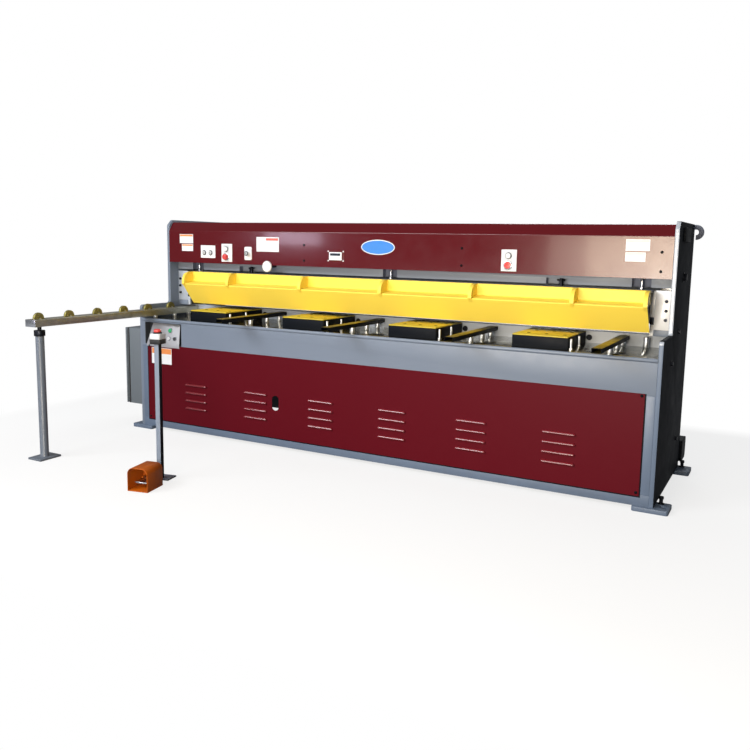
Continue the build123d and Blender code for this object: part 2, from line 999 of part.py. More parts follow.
def oval_plate():
    """The bare oval plate."""
    outline = Plane.XZ.offset(-throat_depth) * Pos(oval_x, oval_z) * Ellipse(oval_width / 2, oval_height / 2)
    return extrude(outline, amount=oval_thickness)


def counter():
    """The gauge counter's housing."""
    body = box((counter_x - counter_width / 2, counter_x + counter_width / 2),
               (throat_depth - counter_depth, throat_depth),
               (counter_z - counter_height / 2, counter_z + counter_height / 2))
    return chamfer(body.edges().group_by(Axis.Y)[0], 4)


def panel_knob():
    """The pale round knob on the stem that comes out of the crown beam under the crown panel."""
    stem = rod_y(knob_stem_radius, knob_x, (knob_back, crown_front), knob_z)
    head = rod_y(knob_radius, knob_x, (knob_back - knob_depth, knob_back), knob_z)
    rims = head.edges().filter_by(GeomType.CIRCLE).sort_by(Axis.Y)
    head = chamfer(rims[0], knob_depth / 3)
    return stem + head


def on_pedestal(piece):
    """A piece drawn about the pedestal's post, turned and set in its place."""
    return Pos(pedestal_x, pedestal_y, 0) * Rot(0, 0, pedestal_turn) * piece


def pedestal_post_and_plate():
    """The square post on its floor plate."""
    half = pedestal_post / 2
    post = box((-half, half), (-half, half), (pedestal_plate_thickness, pedestal_post_top))
    post = cut_corners(post, Axis.Z, 2)
    plate = box((-pedestal_plate_x / 2, pedestal_plate_x / 2), (-half, pedestal_plate_y - half),
                (0, pedestal_plate_thickness))
    return on_pedestal(post + plate)


def stop_station():
    """The black lower half of the stop button's box."""
    half = stop_box / 2
    base = box((-half, half), (-half, half), (pedestal_post_top, pedestal_post_top + stop_base_height))
    return on_pedestal(cut_corners(base, Axis.Z, 4))


def stop_cap():
    """The pale upper half of the stop button's box."""
    half = stop_box / 2 - 1
    z0 = pedestal_post_top + stop_base_height
    cap = box((-half, half), (-half, half), (z0, z0 + stop_cap_height))
    return on_pedestal(cut_corners(cap, Axis.Z, 4))


def stop_button():
    """The red mushroom button on its stem."""
    z0 = pedestal_post_top + stop_base_height + stop_cap_height
    stem = rod_z(stop_stem_radius, 0, 0, (z0, z0 + stop_stem_height))
    top = z0 + stop_stem_height + stop_button_height
    head = rod_z(stop_button_radius, 0, 0, (z0 + stop_stem_height, top))
    head = chamfer(head.edges().filter_by(GeomType.CIRCLE).sort_by(Axis.Z)[-1], stop_button_height / 3)
    return on_pedestal(stem + head)


def on_pedal(piece):
    """A piece drawn about the pedal's middle, turned and set in its place."""
    return Pos(pedal_x, pedal_y, 0) * Rot(0, 0, pedestal_turn) * piece


def pedal_outline(inset):
    """The guard's arched cross-section."""
    half = pedal_width / 2 - inset
    outline = Rectangle(2 * half, pedal_height - pedal_base - inset, align=(Align.CENTER, Align.MIN))
    top = outline.vertices().group_by(Axis.Y)[-1]
    return fillet(top, pedal_arch_radius - inset)


def pedal_guard():
    """The arched guard, open to the front, closed behind."""
    half = pedal_length / 2
    front = Plane.XZ.offset(half)
    shell = extrude(front * Pos(0, pedal_base) * pedal_outline(0), amount=-pedal_length)
    hollow = extrude(front * Pos(0, pedal_base) * pedal_outline(pedal_wall),
                     amount=-(pedal_length - pedal_wall))
    return on_pedal(shell - hollow)


def pedal_base_plate():
    """The pedal's base with two ears for the treadle's pin."""
    half = pedal_width / 2
    base = box((-half, half), (-pedal_length / 2, pedal_length / 2), (0, pedal_base))
    y = pedal_length / 2 - 30
    for side in (-1, 1):
        inner = side * (treadle_width / 2 + treadle_side_gap)
        span = sorted((inner, inner + side * 8))
        base += box(span, (y - treadle_ear, y + treadle_ear), (pedal_base, treadle_height))
        base += rod_x(treadle_ear, span, y, treadle_height)
    pin_reach = treadle_width / 2 + treadle_side_gap
    base += rod_x(treadle_pin_radius, (-pin_reach, pin_reach), y, treadle_height)
    return on_pedal(base)


def pedal_treadle():
    """The ribbed treadle on its pin."""
    y = pedal_length / 2 - 30
    half = treadle_width / 2
    slab = box((-half, half), (y - treadle_length, y),
               (treadle_height - treadle_thickness / 2, treadle_height + treadle_thickness / 2))
    slab += rod_x(treadle_thickness, (-half, half), y, treadle_height)
    slab -= rod_x(treadle_pin_radius + treadle_pin_gap, (-half, half), y, treadle_height)
    return on_pedal(slab)


def rear_cover():
    """The lower cover sheet at the back."""
    y1 = frame_depth - rear_inset
    return box((-inner_half, inner_half), (y1 - sheet, y1), (foot_height + 20, rear_cover_top))


def scrap_chute():
    """The sloping sheet that the cut pieces slide down."""
    rear = frame_depth - rear_inset
    points = [(chute_front, chute_top), (rear, chute_bottom), (rear, rear_cover_top)]
    return bent_sheet(points, sheet, (-inner_half, inner_half), 12, Side.RIGHT)


def rear_tie_bar():
    """The cross beam between the side plates at the upper back."""
    y1 = frame_depth - rear_inset
    return box((-inner_half, inner_half), (y1 - tie_bar_depth, y1), (tie_bar_bottom, tie_bar_top))


def back_gauge_arms():
    """The two brackets on the ram's back that carry the gauge bar."""
    rear = ram_front() + ram_thickness
    arms = []
    for x in gauge_arms_x:
        span = (x - gauge_arm_thickness / 2, x + gauge_arm_thickness / 2)
        top = gauge_arm_bottom + gauge_arm_height
        front_leg = gauge_bar_y + gauge_bar_thickness
        points = [
            (rear, gauge_arm_bottom),
            (front_leg, gauge_arm_bottom),
            (front_leg, gauge_bar_bottom),
            (front_leg + gauge_leg_width, gauge_bar_bottom),
            (front_leg + gauge_leg_width, gauge_arm_bottom),
            (rear + gauge_arm_reach, gauge_arm_bottom),
            (rear + gauge_arm_reach, top),
            (rear, top),
        ]
        arms.append(prism_x(points, span))
    return arms


def back_gauge_bar():
    """The gauge bar behind the blades."""
    return box((-gauge_bar_half, gauge_bar_half), (gauge_bar_y, gauge_bar_y + gauge_bar_thickness),
               (gauge_bar_bottom, gauge_bar_bottom + gauge_bar_height))


def drive_motor():
    """The drive motor with its foot bracket on the rear cover."""
    barrel = rod_x(motor_radius, (motor_x - motor_length / 2, motor_x + motor_length / 2), motor_y, motor_z)
    barrel = chamfer(barrel.edges().filter_by(GeomType.CIRCLE), 10)
    cover_face = frame_depth - rear_inset
    bracket = box((motor_x - motor_length / 3, motor_x + motor_length / 3), (cover_face, motor_y),
                  (motor_z - motor_radius - motor_bracket_thickness, motor_z - motor_radius))
    lug = box((motor_x - motor_length / 3, motor_x + motor_length / 3),
              (motor_y - motor_radius / 2, motor_y),
              (motor_z - motor_radius, motor_z - motor_radius * 0.7))
    return barrel + bracket + lug


def belt_cover():
    """The closed housing over the drive belt, behind the right side plate."""
    x1 = half_length + belt_cover_outreach
    cover = box((x1 - belt_cover_width, x1), (frame_depth, frame_depth + belt_cover_depth),
                (belt_cover_bottom, belt_cover_top))
    return fillet(cover.edges().filter_by(Axis.X), belt_cover_corner)


def guide_blocks():
    """The blocks on the outer faces of the side plates that clamp the upper ends of the ram's guides."""
    blocks = []
    for side in (-1, 1):
        span = sorted((side * half_length, side * (half_length + guide_block_thickness)))
        blocks.append(box(span, (guide_block_front, guide_block_front + guide_block_depth),
                          (guide_block_bottom, guide_block_bottom + guide_block_height)))
    return blocks


def lifting_hooks():
    """A flat-cut hook at the upper back of each side plate, curling out and down."""
    reach = 2 * hook_outer_radius
    ring = Circle(hook_outer_radius) - Circle(hook_inner_radius)
    ring -= Rectangle(reach, reach, align=(Align.MAX, Align.CENTER))
    bar = Pos(-hook_bar, hook_inner_radius) * Rectangle(
        hook_bar, hook_outer_radius - hook_inner_radius, align=(Align.MIN, Align.MIN))
    centre = Pos(half_length + hook_bar, hook_top - hook_outer_radius)
    outline = Plane.XZ.offset(-hook_y - hook_thickness / 2) * centre * (ring + bar)
    right = extrude(outline, amount=hook_thickness)
    return [mirror(right, Plane.YZ), right]


def save(name, solids):
    """Write one piece, moved to the part's origin."""
    pieces = solids if isinstance(solids, list) else [solids]
    moved = [Pos(0, -origin_depth, 0) * piece for piece in pieces]
    piece = Compound(children=moved) if len(moved) > 1 else moved[0]
    export_step(piece, os.path.join("parts", name + ".step"))


def main():
    os.makedirs("parts", exist_ok=True)
    save("side_plate_left", side_plate(True))
    save("side_plate_right", side_plate(False))
    save("foot_plates", foot_plates())
    save("table_shelf", table_shelf())
    save("bed_apron", bed_apron())
    save("bed_bottom_rail", bed_bottom_rail())
    save("bed_stiles", bed_stiles())
    save("lower_panel", lower_panel())
    save("bed_beam", bed_beam())
    save("lower_blade", lower_blade())
    save("upper_blade", upper_blade())
    save("ram", ram())
    save("ram_guides", ram_guides())
    save("hold_down_beam", hold_down_beam())
    save("crown_beam", crown_beam())
    save("crown_panel", crown_panel())
    save("finger_guard", finger_guard())
    save("guard_rods", guard_rods())
    save("end_plates", end_plates())
    save("table_blocks", [table_block(index) for index in range(block_count)])
    save("support_bars", [support_bar(index) for index in range(block_count)])
    save("block_plates", block_plates())
    save("block_standoffs", block_standoffs())
    save("support_posts", support_posts())
    save("squaring_arm", squaring_arm())
    for index in range(roller_count):
        save(f"arm_roller_{index + 1}", arm_roller(index))
    save("arm_leg", arm_leg())
    save("leg_collar", leg_collar())
    save("cabinet_body", cabinet_body())
    save("cabinet_door", cabinet_door())
    save("door_seal", door_seal())
    save("control_pocket", control_pocket())
    save("control_plate", control_plate())
    save("button_boxes", button_boxes())
    save("push_buttons", pocket_buttons() + box_buttons())
    save("selector_plate", selector_plate())
    save("oval_plate", oval_plate())
    save("counter", counter())
    save("panel_knob", panel_knob())
    save("pedestal_post", pedestal_post_and_plate())
    save("stop_station", stop_station())
    save("stop_cap", stop_cap())
    save("stop_button", stop_button())
    save("pedal_guard", pedal_guard())
    save("pedal_base", pedal_base_plate())
    save("pedal_treadle", pedal_treadle())
    save("rear_cover", rear_cover())
    save("scrap_chute", scrap_chute())
    save("rear_tie_bar", rear_tie_bar())
    save("back_gauge_arms", back_gauge_arms())
    save("back_gauge_bar", back_gauge_bar())
    save("drive_motor", drive_motor())
    save("belt_cover", belt_cover())
    save("lifting_hooks", lifting_hooks())
    save("guide_blocks", guide_blocks())


main()
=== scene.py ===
"""Power squaring shear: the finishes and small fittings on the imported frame, with its studio."""
import math

import bmesh
import bpy
from mathutils import Matrix, Vector


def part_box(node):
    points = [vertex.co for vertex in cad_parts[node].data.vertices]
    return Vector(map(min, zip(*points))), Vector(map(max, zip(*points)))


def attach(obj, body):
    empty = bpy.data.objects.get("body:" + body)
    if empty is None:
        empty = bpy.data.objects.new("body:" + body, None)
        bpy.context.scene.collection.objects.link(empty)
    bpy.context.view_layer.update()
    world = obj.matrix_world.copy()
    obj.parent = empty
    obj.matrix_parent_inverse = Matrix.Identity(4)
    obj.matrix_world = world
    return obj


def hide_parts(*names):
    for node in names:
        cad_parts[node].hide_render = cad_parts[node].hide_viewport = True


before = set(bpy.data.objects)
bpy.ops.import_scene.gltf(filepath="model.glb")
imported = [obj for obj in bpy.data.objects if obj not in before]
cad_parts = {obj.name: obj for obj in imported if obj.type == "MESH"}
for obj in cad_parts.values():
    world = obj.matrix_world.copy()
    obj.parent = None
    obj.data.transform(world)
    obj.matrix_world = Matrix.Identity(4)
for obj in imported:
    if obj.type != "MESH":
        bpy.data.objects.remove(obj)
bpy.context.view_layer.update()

# Planes across the machine, in metres; most depths are given back from the bed's front plane
FRONT = -0.4535
PANEL_FACE = FRONT - 0.003
CROWN_PLANE = FRONT + 0.285
CROWN_FACE = FRONT + 0.282

# Rods, the rounding of plain edges, and the ways that fittings face
HOLD_RODS = (-1.066, 1.121)
GUARD_RODS = (-1.537, 0.029, 1.562)
EDGE = 0.0012
FORWARD = (0, -1, 0)
UPWARD = (0, 0, 1)

FLOAT, COLOUR, VECTOR = "NodeSocketFloat", "NodeSocketColor", "NodeSocketVector"


def srgb(red, green, blue):
    """A colour picked as 0-255 values, as linear light."""
    def linear(value):
        value /= 255
        return value / 12.92 if value <= 0.04045 else ((value + 0.055) / 1.055) ** 2.4
    return (linear(red), linear(green), linear(blue), 1)


# Node helpers

def wire(tree, source, target):
    """Join a node's output to another's input."""
    tree.links.new(source, target)


def feed(tree, item, socket):
    """Set a socket to a plain value, or wire a node's output to it."""
    if isinstance(item, (int, float, tuple)):
        socket.default_value = item
    else:
        wire(tree, item, socket)


def add_inputs(tree, inputs):
    """Named inputs for a node tree, as (label, kind, default)."""
    for label, kind, default in inputs:
        socket = tree.interface.new_socket(label, in_out="INPUT", socket_type=kind)
        if default is not None:
            socket.default_value = default


def new_group(name, inputs):
    """A shader group with named inputs that puts out a colour, a roughness and a height."""
    tree = bpy.data.node_groups.new(name, "ShaderNodeTree")
    add_inputs(tree, inputs)
    for label, kind in (("Colour", COLOUR), ("Roughness", FLOAT), ("Height", FLOAT)):
        tree.interface.new_socket(label, in_out="OUTPUT", socket_type=kind)
    return tree, tree.nodes.new("NodeGroupInput"), tree.nodes.new("NodeGroupOutput")


def noise(tree, vector, scale, detail, rough=0.5):
    """The value of a noise pattern."""
    made = tree.nodes.new("ShaderNodeTexNoise")
    made.inputs["Detail"].default_value = detail
    made.inputs["Roughness"].default_value = rough
    wire(tree, vector, made.inputs["Vector"])
    feed(tree, scale, made.inputs["Scale"])
    return made.outputs["Fac"]


def spread(tree, value, low, high, to_low, to_high):
    """Map a value's range onto another, clamped."""
    made = tree.nodes.new("ShaderNodeMapRange")
    wire(tree, value, made.inputs["Value"])
    for label, item in (("From Min", low), ("From Max", high), ("To Min", to_low), ("To Max", to_high)):
        feed(tree, item, made.inputs[label])
    return made.outputs["Result"]


def calculate(tree, operation, first, second=None):
    """The result of a sum on one or two values."""
    made = tree.nodes.new("ShaderNodeMath")
    made.operation = operation
    for socket, item in zip(made.inputs, (first, second)):
        if item is not None:
            feed(tree, item, socket)
    return made.outputs["Value"]


def times(tree, first, second):
    """One value times another."""
    return calculate(tree, "MULTIPLY", first, second)


def blend(tree, share, first, second, mode="MIX"):
    """Mix two colours."""
    made = tree.nodes.new("ShaderNodeMix")
    made.data_type = "RGBA"
    made.blend_type = mode
    colour_sockets = made.inputs[6], made.inputs[7]
    for socket, item in zip((made.inputs["Factor"], *colour_sockets), (share, first, second)):
        feed(tree, item, socket)
    return made.outputs[2]


# Shared effects

def make_enamel_group():
    """Sprayed enamel: orange peel, faint cloudiness, and grime that gathers low down."""
    tree, given, out = new_group(
        "sprayed_enamel",
        [("Colour", COLOUR, (0.5, 0.5, 0.5, 1)), ("Cloud", FLOAT, 0.08),
         ("Peel Scale", FLOAT, 260.0), ("Grime", FLOAT, 0.15),
         ("Rough Low", FLOAT, 0.28), ("Rough High", FLOAT, 0.38)])
    place = tree.nodes.new("ShaderNodeTexCoord").outputs["Object"]
    cloud = noise(tree, place, 3.5, 4)
    dark = blend(tree, 1.0, given.outputs["Colour"], (0.72, 0.72, 0.74, 1), "MULTIPLY")
    share = times(tree, cloud, given.outputs["Cloud"])
    clouded = blend(tree, share, given.outputs["Colour"], dark)
    height = tree.nodes.new("ShaderNodeSeparateXYZ")
    wire(tree, place, height.inputs["Vector"])
    low = spread(tree, height.outputs["Z"], 0.0, 0.35, 1.0, 0.0)
    patch = spread(tree, noise(tree, place, 9.0, 6, 0.65), 0.4, 0.7, 0.0, 1.0)
    grime = times(tree, times(tree, low, patch), given.outputs["Grime"])
    wire(tree, blend(tree, grime, clouded, (0.06, 0.05, 0.045, 1)), out.inputs["Colour"])
    smear = noise(tree, place, 14.0, 5, 0.6)
    wire(tree, spread(tree, smear, 0.3, 0.7, given.outputs["Rough Low"], given.outputs["Rough High"]),
         out.inputs["Roughness"])
    wire(tree, noise(tree, place, given.outputs["Peel Scale"], 1.5), out.inputs["Height"])
    return tree


def make_metal_group():
    """Worked metal: fine lines along one axis, stains and rubbed patches."""
    tree, given, out = new_group(
        "worked_metal",
        [("Colour", COLOUR, (0.6, 0.6, 0.6, 1)), ("Stain", COLOUR, (0.3, 0.3, 0.3, 1)),
         ("Stain Share", FLOAT, 0.3), ("Line Stretch", VECTOR, (1, 1, 1)),
         ("Line Scale", FLOAT, 400.0),
         ("Rough Low", FLOAT, 0.2), ("Rough High", FLOAT, 0.4)])
    place = tree.nodes.new("ShaderNodeTexCoord").outputs["Object"]
    stretch = tree.nodes.new("ShaderNodeVectorMath")
    stretch.operation = "MULTIPLY"
    wire(tree, place, stretch.inputs[0])
    wire(tree, given.outputs["Line Stretch"], stretch.inputs[1])
    lines = noise(tree, stretch.outputs["Vector"], given.outputs["Line Scale"], 3, 0.6)
    patch = spread(tree, noise(tree, place, 16.0, 5, 0.62), 0.38, 0.68, 0.0, 1.0)
    share = times(tree, patch, given.outputs["Stain Share"])
    wire(tree, blend(tree, share, given.outputs["Colour"], given.outputs["Stain"]), out.inputs["Colour"])
    both = calculate(tree, "ADD", times(tree, lines, 0.6), times(tree, patch, 0.4))
    wire(tree, spread(tree, both, 0.2, 0.8, given.outputs["Rough Low"], given.outputs["Rough High"]),
         out.inputs["Roughness"])
    wire(tree, lines, out.inputs["Height"])
    return tree


def make_moulding_group():
    """Moulded plastic or enamelled sheet: a fine grain and slight soiling."""
    tree, given, out = new_group(
        "moulded_grain",
        [("Colour", COLOUR, (0.5, 0.5, 0.5, 1)), ("Soil", FLOAT, 0.1),
         ("Grain Scale", FLOAT, 1500.0),
         ("Rough Low", FLOAT, 0.4), ("Rough High", FLOAT, 0.5)])
    place = tree.nodes.new("ShaderNodeTexCoord").outputs["Object"]
    soil = spread(tree, noise(tree, place, 30.0, 5, 0.6), 0.4, 0.75, 0.0, 1.0)
    share = times(tree, soil, given.outputs["Soil"])
    wire(tree, blend(tree, share, given.outputs["Colour"], (0.05, 0.045, 0.04, 1)), out.inputs["Colour"])
    wire(tree, spread(tree, noise(tree, place, 60.0, 3), 0.3, 0.7, given.outputs["Rough Low"],
                      given.outputs["Rough High"]), out.inputs["Roughness"])
    wire(tree, noise(tree, place, given.outputs["Grain Scale"], 2), out.inputs["Height"])
    return tree


ENAMEL = make_enamel_group()
METAL = make_metal_group()
MOULDING = make_moulding_group()


def finish(name, group, values, bump, depth, **plain):
    """A material: one shared effect feeding a Principled shader, with plain values set on it."""
    made = bpy.data.materials.new(name)
    made.use_nodes = True
    tree = made.node_tree
    shader = tree.nodes["Principled BSDF"]
    effect = tree.nodes.new("ShaderNodeGroup")
    effect.node_tree = group
    for label, value in values.items():
        effect.inputs[label].default_value = value
    wire(tree, effect.outputs["Colour"], shader.inputs["Base Color"])
    wire(tree, effect.outputs["Roughness"], shader.inputs["Roughness"])
    relief = tree.nodes.new("ShaderNodeBump")
    relief.inputs["Strength"].default_value = bump
    relief.inputs["Distance"].default_value = depth
    wire(tree, effect.outputs["Height"], relief.inputs["Height"])
    wire(tree, relief.outputs["Normal"], shader.inputs["Normal"])
    for label, value in plain.items():
        shader.inputs[label.replace("_", " ")].default_value = value
    made.diffuse_color = tuple(values["Colour"])
    return made


# The three kinds of finish; low and high are the range of the roughness

def enamel(name, colour, low, high, grime=0.15, cloud=0.1, peel=260.0, bump=0.12, **plain):
    """A sprayed finish."""
    values = {"Colour": colour, "Rough Low": low, "Rough High": high, "Grime": grime, "Cloud": cloud,
              "Peel Scale": peel}
    return finish(name, ENAMEL, values, bump, 0.0006, **plain)


def metal(name, colour, stain, share, low, high, stretch=(1, 1, 1)):
    """A bare or plated metal, stained over a share of it."""
    values = {"Colour": colour, "Stain": stain, "Stain Share": share, "Rough Low": low, "Rough High": high,
              "Line Stretch": stretch}
    return finish(name, METAL, values, 0.08, 0.0002, Metallic=1.0)


def moulding(name, colour, low, high, soil=0.1, bump=0.1, **plain):
    """Plastic, rubber, a printed label or glass."""
    values = {"Colour": colour, "Rough Low": low, "Rough High": high, "Soil": soil}
    return finish(name, MOULDING, values, bump, 0.0002, **plain)


GREY = enamel("machine_grey_enamel", srgb(117, 128, 145), 0.36, 0.48, cloud=0.05)
# Pale grey used as painted light on front faces that face the lamps (right side plate, bed beam), and as
# painted shade on the left white end plate
LIT_AND_SHADED_GREY = enamel("edge_grey_enamel", srgb(176, 184, 196), 0.3, 0.4, cloud=0.04, Coat_Weight=0.7,
                   Coat_Roughness=0.12)
STILE_GREY = enamel("stile_grey_enamel", srgb(98, 113, 135), 0.36, 0.48, cloud=0.08)
ROOF_MAROON = enamel("roof_maroon_enamel", srgb(86, 7, 16), 0.42, 0.5, grime=0.0, cloud=0.06, bump=0.1,
                     Specular_IOR_Level=0.08)
# Light grey painted on the crown beam's lit front faces as painted light
LIT_BEAM_GREY = enamel("beam_grey_enamel", srgb(142, 149, 160), 0.36, 0.48, cloud=0.05)
# Dark grey painted as shade in the crown beam's notches and on the guard's top flange; the lifting hooks
# take it as their own grey
SHADE_AND_HOOK_GREY = enamel("notch_grey_enamel", srgb(98, 104, 122), 0.4, 0.5)
LEG_GREY = enamel("leg_grey_enamel", srgb(102, 110, 122), 0.26, 0.36, bump=0.2)
CABINET_GREY = enamel("cabinet_grey_enamel", srgb(104, 112, 119), 0.4, 0.5, cloud=0.06)
# Dark grey painted as shade on the right side plate's unlit faces; the control pocket's walls take it too
SHADED_SIDE_GREY = enamel("side_plate_enamel", srgb(60, 63, 68), 0.5, 0.62, bump=0.2, Specular_IOR_Level=0.02)
MAROON = enamel("panel_maroon_enamel", srgb(87, 12, 24), 0.38, 0.46, grime=0.0, cloud=0.04, bump=0.03,
                Specular_IOR_Level=0.08)
# A lighter maroon than the panel's, on the hoods of the same sheet, as painted light
LIT_HOOD_MAROON = enamel("hood_maroon_enamel", srgb(112, 18, 30), 0.2, 0.3, grime=0.0, cloud=0.04, bump=0.03,
                     Coat_Weight=1.0, Coat_Roughness=0.16)
CROWN_MAROON = enamel("crown_maroon_enamel", srgb(86, 7, 16), 0.16, 0.24, grime=0.0, cloud=0.06, peel=120.0,
                      bump=0.4, Coat_Weight=0.35, Coat_Roughness=0.08, Specular_IOR_Level=0.3)
YELLOW = enamel("guard_yellow_enamel", srgb(253, 222, 85), 0.4, 0.5, grime=0.0, cloud=0.03, bump=0.05,
                Specular_IOR_Level=0.3)
WHITE = enamel("white_enamel", srgb(236, 238, 242), 0.35, 0.45, grime=0.0, cloud=0.05)
PLATE_WHITE = enamel("plate_white_enamel", srgb(246, 247, 250), 0.3, 0.4, grime=0.0, cloud=0.03,
                     Coat_Weight=0.6, Coat_Roughness=0.15)
# Black enamel for the blocks and covers, also painted as shade on the post's side, the bars' sides and the
# hoods' inner walls
BLACK = enamel("block_black_enamel", srgb(10, 14, 21), 0.44, 0.54, grime=0.0, Specular_IOR_Level=0.1)
ORANGE = enamel("pedal_orange_enamel", srgb(170, 82, 10), 0.4, 0.52, grime=0.3, Specular_IOR_Level=0.2)
DARK_STEEL = metal("black_oxide_steel", srgb(44, 46, 52), srgb(24, 24, 26), 0.5, 0.32, 0.5)
SHELF_STEEL = metal("oiled_shelf_steel", srgb(178, 176, 160), srgb(118, 114, 90), 0.6, 0.1, 0.24,
                    stretch=(1, 0.05, 1))
GROUND = metal("ground_tool_steel", srgb(186, 189, 195), srgb(140, 142, 146), 0.4, 0.16, 0.32,
               stretch=(0.05, 1, 1))
ZINC = metal("yellow_zinc_plate", srgb(190, 188, 174), srgb(142, 139, 118), 0.6, 0.34, 0.5,
             stretch=(1, 0.06, 1))
BAR_ZINC = metal("olive_bar_plate", srgb(150, 138, 62), srgb(96, 88, 44), 0.5, 0.34, 0.5,
                 stretch=(1, 0.06, 1))
ZINC_ROLLER = metal("yellow_zinc_disc", srgb(158, 150, 92), srgb(112, 106, 66), 0.5, 0.5, 0.64)
# Bright zinc for the rods, nuts, treadle and button rings, also on the arm's front end as a painted
# highlight
BRIGHT_ZINC_AND_HIGHLIGHT = metal("bright_zinc_plate", srgb(206, 210, 218), srgb(170, 172, 180), 0.3, 0.2, 0.34)
POST_ZINC = metal("plain_post_zinc", srgb(228, 231, 236), srgb(206, 209, 215), 0.15, 0.36, 0.46)
PLATE_YELLOW = enamel("plate_yellow_enamel", srgb(204, 180, 48), 0.36, 0.46, grime=0.0, cloud=0.08)
CASTING = enamel("casting_enamel", srgb(66, 72, 80), 0.42, 0.56, bump=0.35, peel=150.0)
RUBBER = moulding("seal_rubber", srgb(24, 24, 25), 0.6, 0.75)
BLACK_PLASTIC = moulding("black_moulding", srgb(22, 23, 25), 0.38, 0.5)
PALE_PLASTIC = moulding("pale_moulding", srgb(206, 210, 214), 0.4, 0.5)
CONTROL_GREY = moulding("control_plate_grey", srgb(158, 160, 168), 0.4, 0.5, soil=0.04)
RED_PLASTIC = moulding("red_button_plastic", srgb(214, 62, 56), 0.25, 0.34, Coat_Weight=0.4)
GREEN_PLASTIC = moulding("green_button_plastic", srgb(30, 158, 98), 0.25, 0.34, Coat_Weight=0.4)
WHITE_PLASTIC = moulding("white_button_plastic", srgb(232, 234, 236), 0.28, 0.36, soil=0.04)
BLUE_PLATE = moulding("blue_oval_enamel", srgb(58, 134, 220), 0.3, 0.4, soil=0.02, bump=0.02,
                      Coat_Weight=0.3)
PAPER_WHITE = moulding("label_white", srgb(238, 241, 246), 0.35, 0.45, soil=0.03)
PAPER_ORANGE = moulding("label_orange", srgb(236, 148, 84), 0.35, 0.45, soil=0.03)
PAPER_CREAM = moulding("label_cream", srgb(250, 232, 206), 0.35, 0.45, soil=0.03)
PAPER_RED = moulding("label_red", srgb(232, 108, 96), 0.35, 0.45, soil=0.03)
GLASS_DARK = moulding("counter_window", srgb(26, 40, 62), 0.1, 0.16, soil=0.02, Coat_Weight=1.0)


# Mesh helpers

def in_scene(name, data):
    """A new object in the scene."""
    made = bpy.data.objects.new(name, data)
    bpy.context.scene.collection.objects.link(made)
    return made


def piece(name, mesh_data, body="frame", stands_for=()):
    """Put a finished mesh in the scene, on its body."""
    made = in_scene(name, mesh_data)
    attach(made, body)
    if stands_for:
        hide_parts(*stands_for)


def to_mesh(name, shape, materials, smooth_angle=35):
    """Turn a bmesh into mesh data with materials, smooth where it bends gently."""
    bmesh.ops.recalc_face_normals(shape, faces=shape.faces)
    mesh_data = bpy.data.meshes.new(name)
    shape.to_mesh(mesh_data)
    shape.free()
    for item in materials:
        mesh_data.materials.append(item)
    for face in mesh_data.polygons:
        face.use_smooth = True
    mesh_data.set_sharp_from_angle(angle=math.radians(smooth_angle))
    return mesh_data


def add_piece(name, shape, materials, body="frame", stands_for=(), smooth_angle=40):
    """Put a bmesh in the scene as a finished piece."""
    piece(name, to_mesh(name, shape, materials, smooth_angle), body, stands_for)


def paint(shape, index, test):
    """Give the faces that pass a test on their normal and centre another of the mesh's materials."""
    for face in shape.faces:
        if test(face.normal, face.calc_center_median()):
            face.material_index = index


def round_edges(shape, width, segments=2, angle=35):
    """Round the edges that are sharper than an angle."""
    limit = math.radians(angle)
    edges = [e for e in shape.edges if e.is_manifold and e.calc_face_angle(0) > limit]
    if edges:
        bmesh.ops.bevel(shape, geom=edges, offset=width, segments=segments, profile=0.5,
                        affect="EDGES", clamp_overlap=True, miter_outer="ARC")


def cad_copy(name):
    """A merged copy of a CAD node's mesh, with its flat faces in one piece."""
    shape = bmesh.new()
    shape.from_mesh(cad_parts[name].data)
    bmesh.ops.remove_doubles(shape, verts=shape.verts, dist=1e-6)
    bmesh.ops.dissolve_limit(shape, angle_limit=math.radians(0.6), verts=shape.verts, edges=shape.edges,
                             use_dissolve_boundaries=False)
    return shape


def dress(name, material, body="frame", others=()):
    """Replace a CAD node by its own shape with rounded edges; others are finishes for some faces."""
    shape = cad_copy(name)
    round_edges(shape, EDGE)
    for index, (item, test) in enumerate(others, 1):
        paint(shape, index, test)
    finishes = [material] + [item for item, test in others]
    add_piece(name + "_finished", shape, finishes, body, (name,))


def block(shape, low, high, width, segments=2, index=0):
    """Add a box with rounded edges to a mesh."""
    made = bmesh.ops.create_cube(shape, size=1)
    size = Vector(high) - Vector(low)
    middle = (Vector(high) + Vector(low)) / 2
    bmesh.ops.scale(shape, vec=size, verts=made["verts"])
    bmesh.ops.translate(shape, vec=middle, verts=made["verts"])
    edges = list(dict.fromkeys(e for v in made["verts"] for e in v.link_edges))
    for face in dict.fromkeys(f for v in made["verts"] for f in v.link_faces):
        face.material_index = index
    if width > 0:
        before = set(shape.faces)
        bmesh.ops.bevel(shape, geom=edges, offset=min(width, min(size) * 0.45), segments=segments,
                        profile=0.5, affect="EDGES", clamp_overlap=True)
        for face in set(shape.faces) - before:
            face.material_index = index


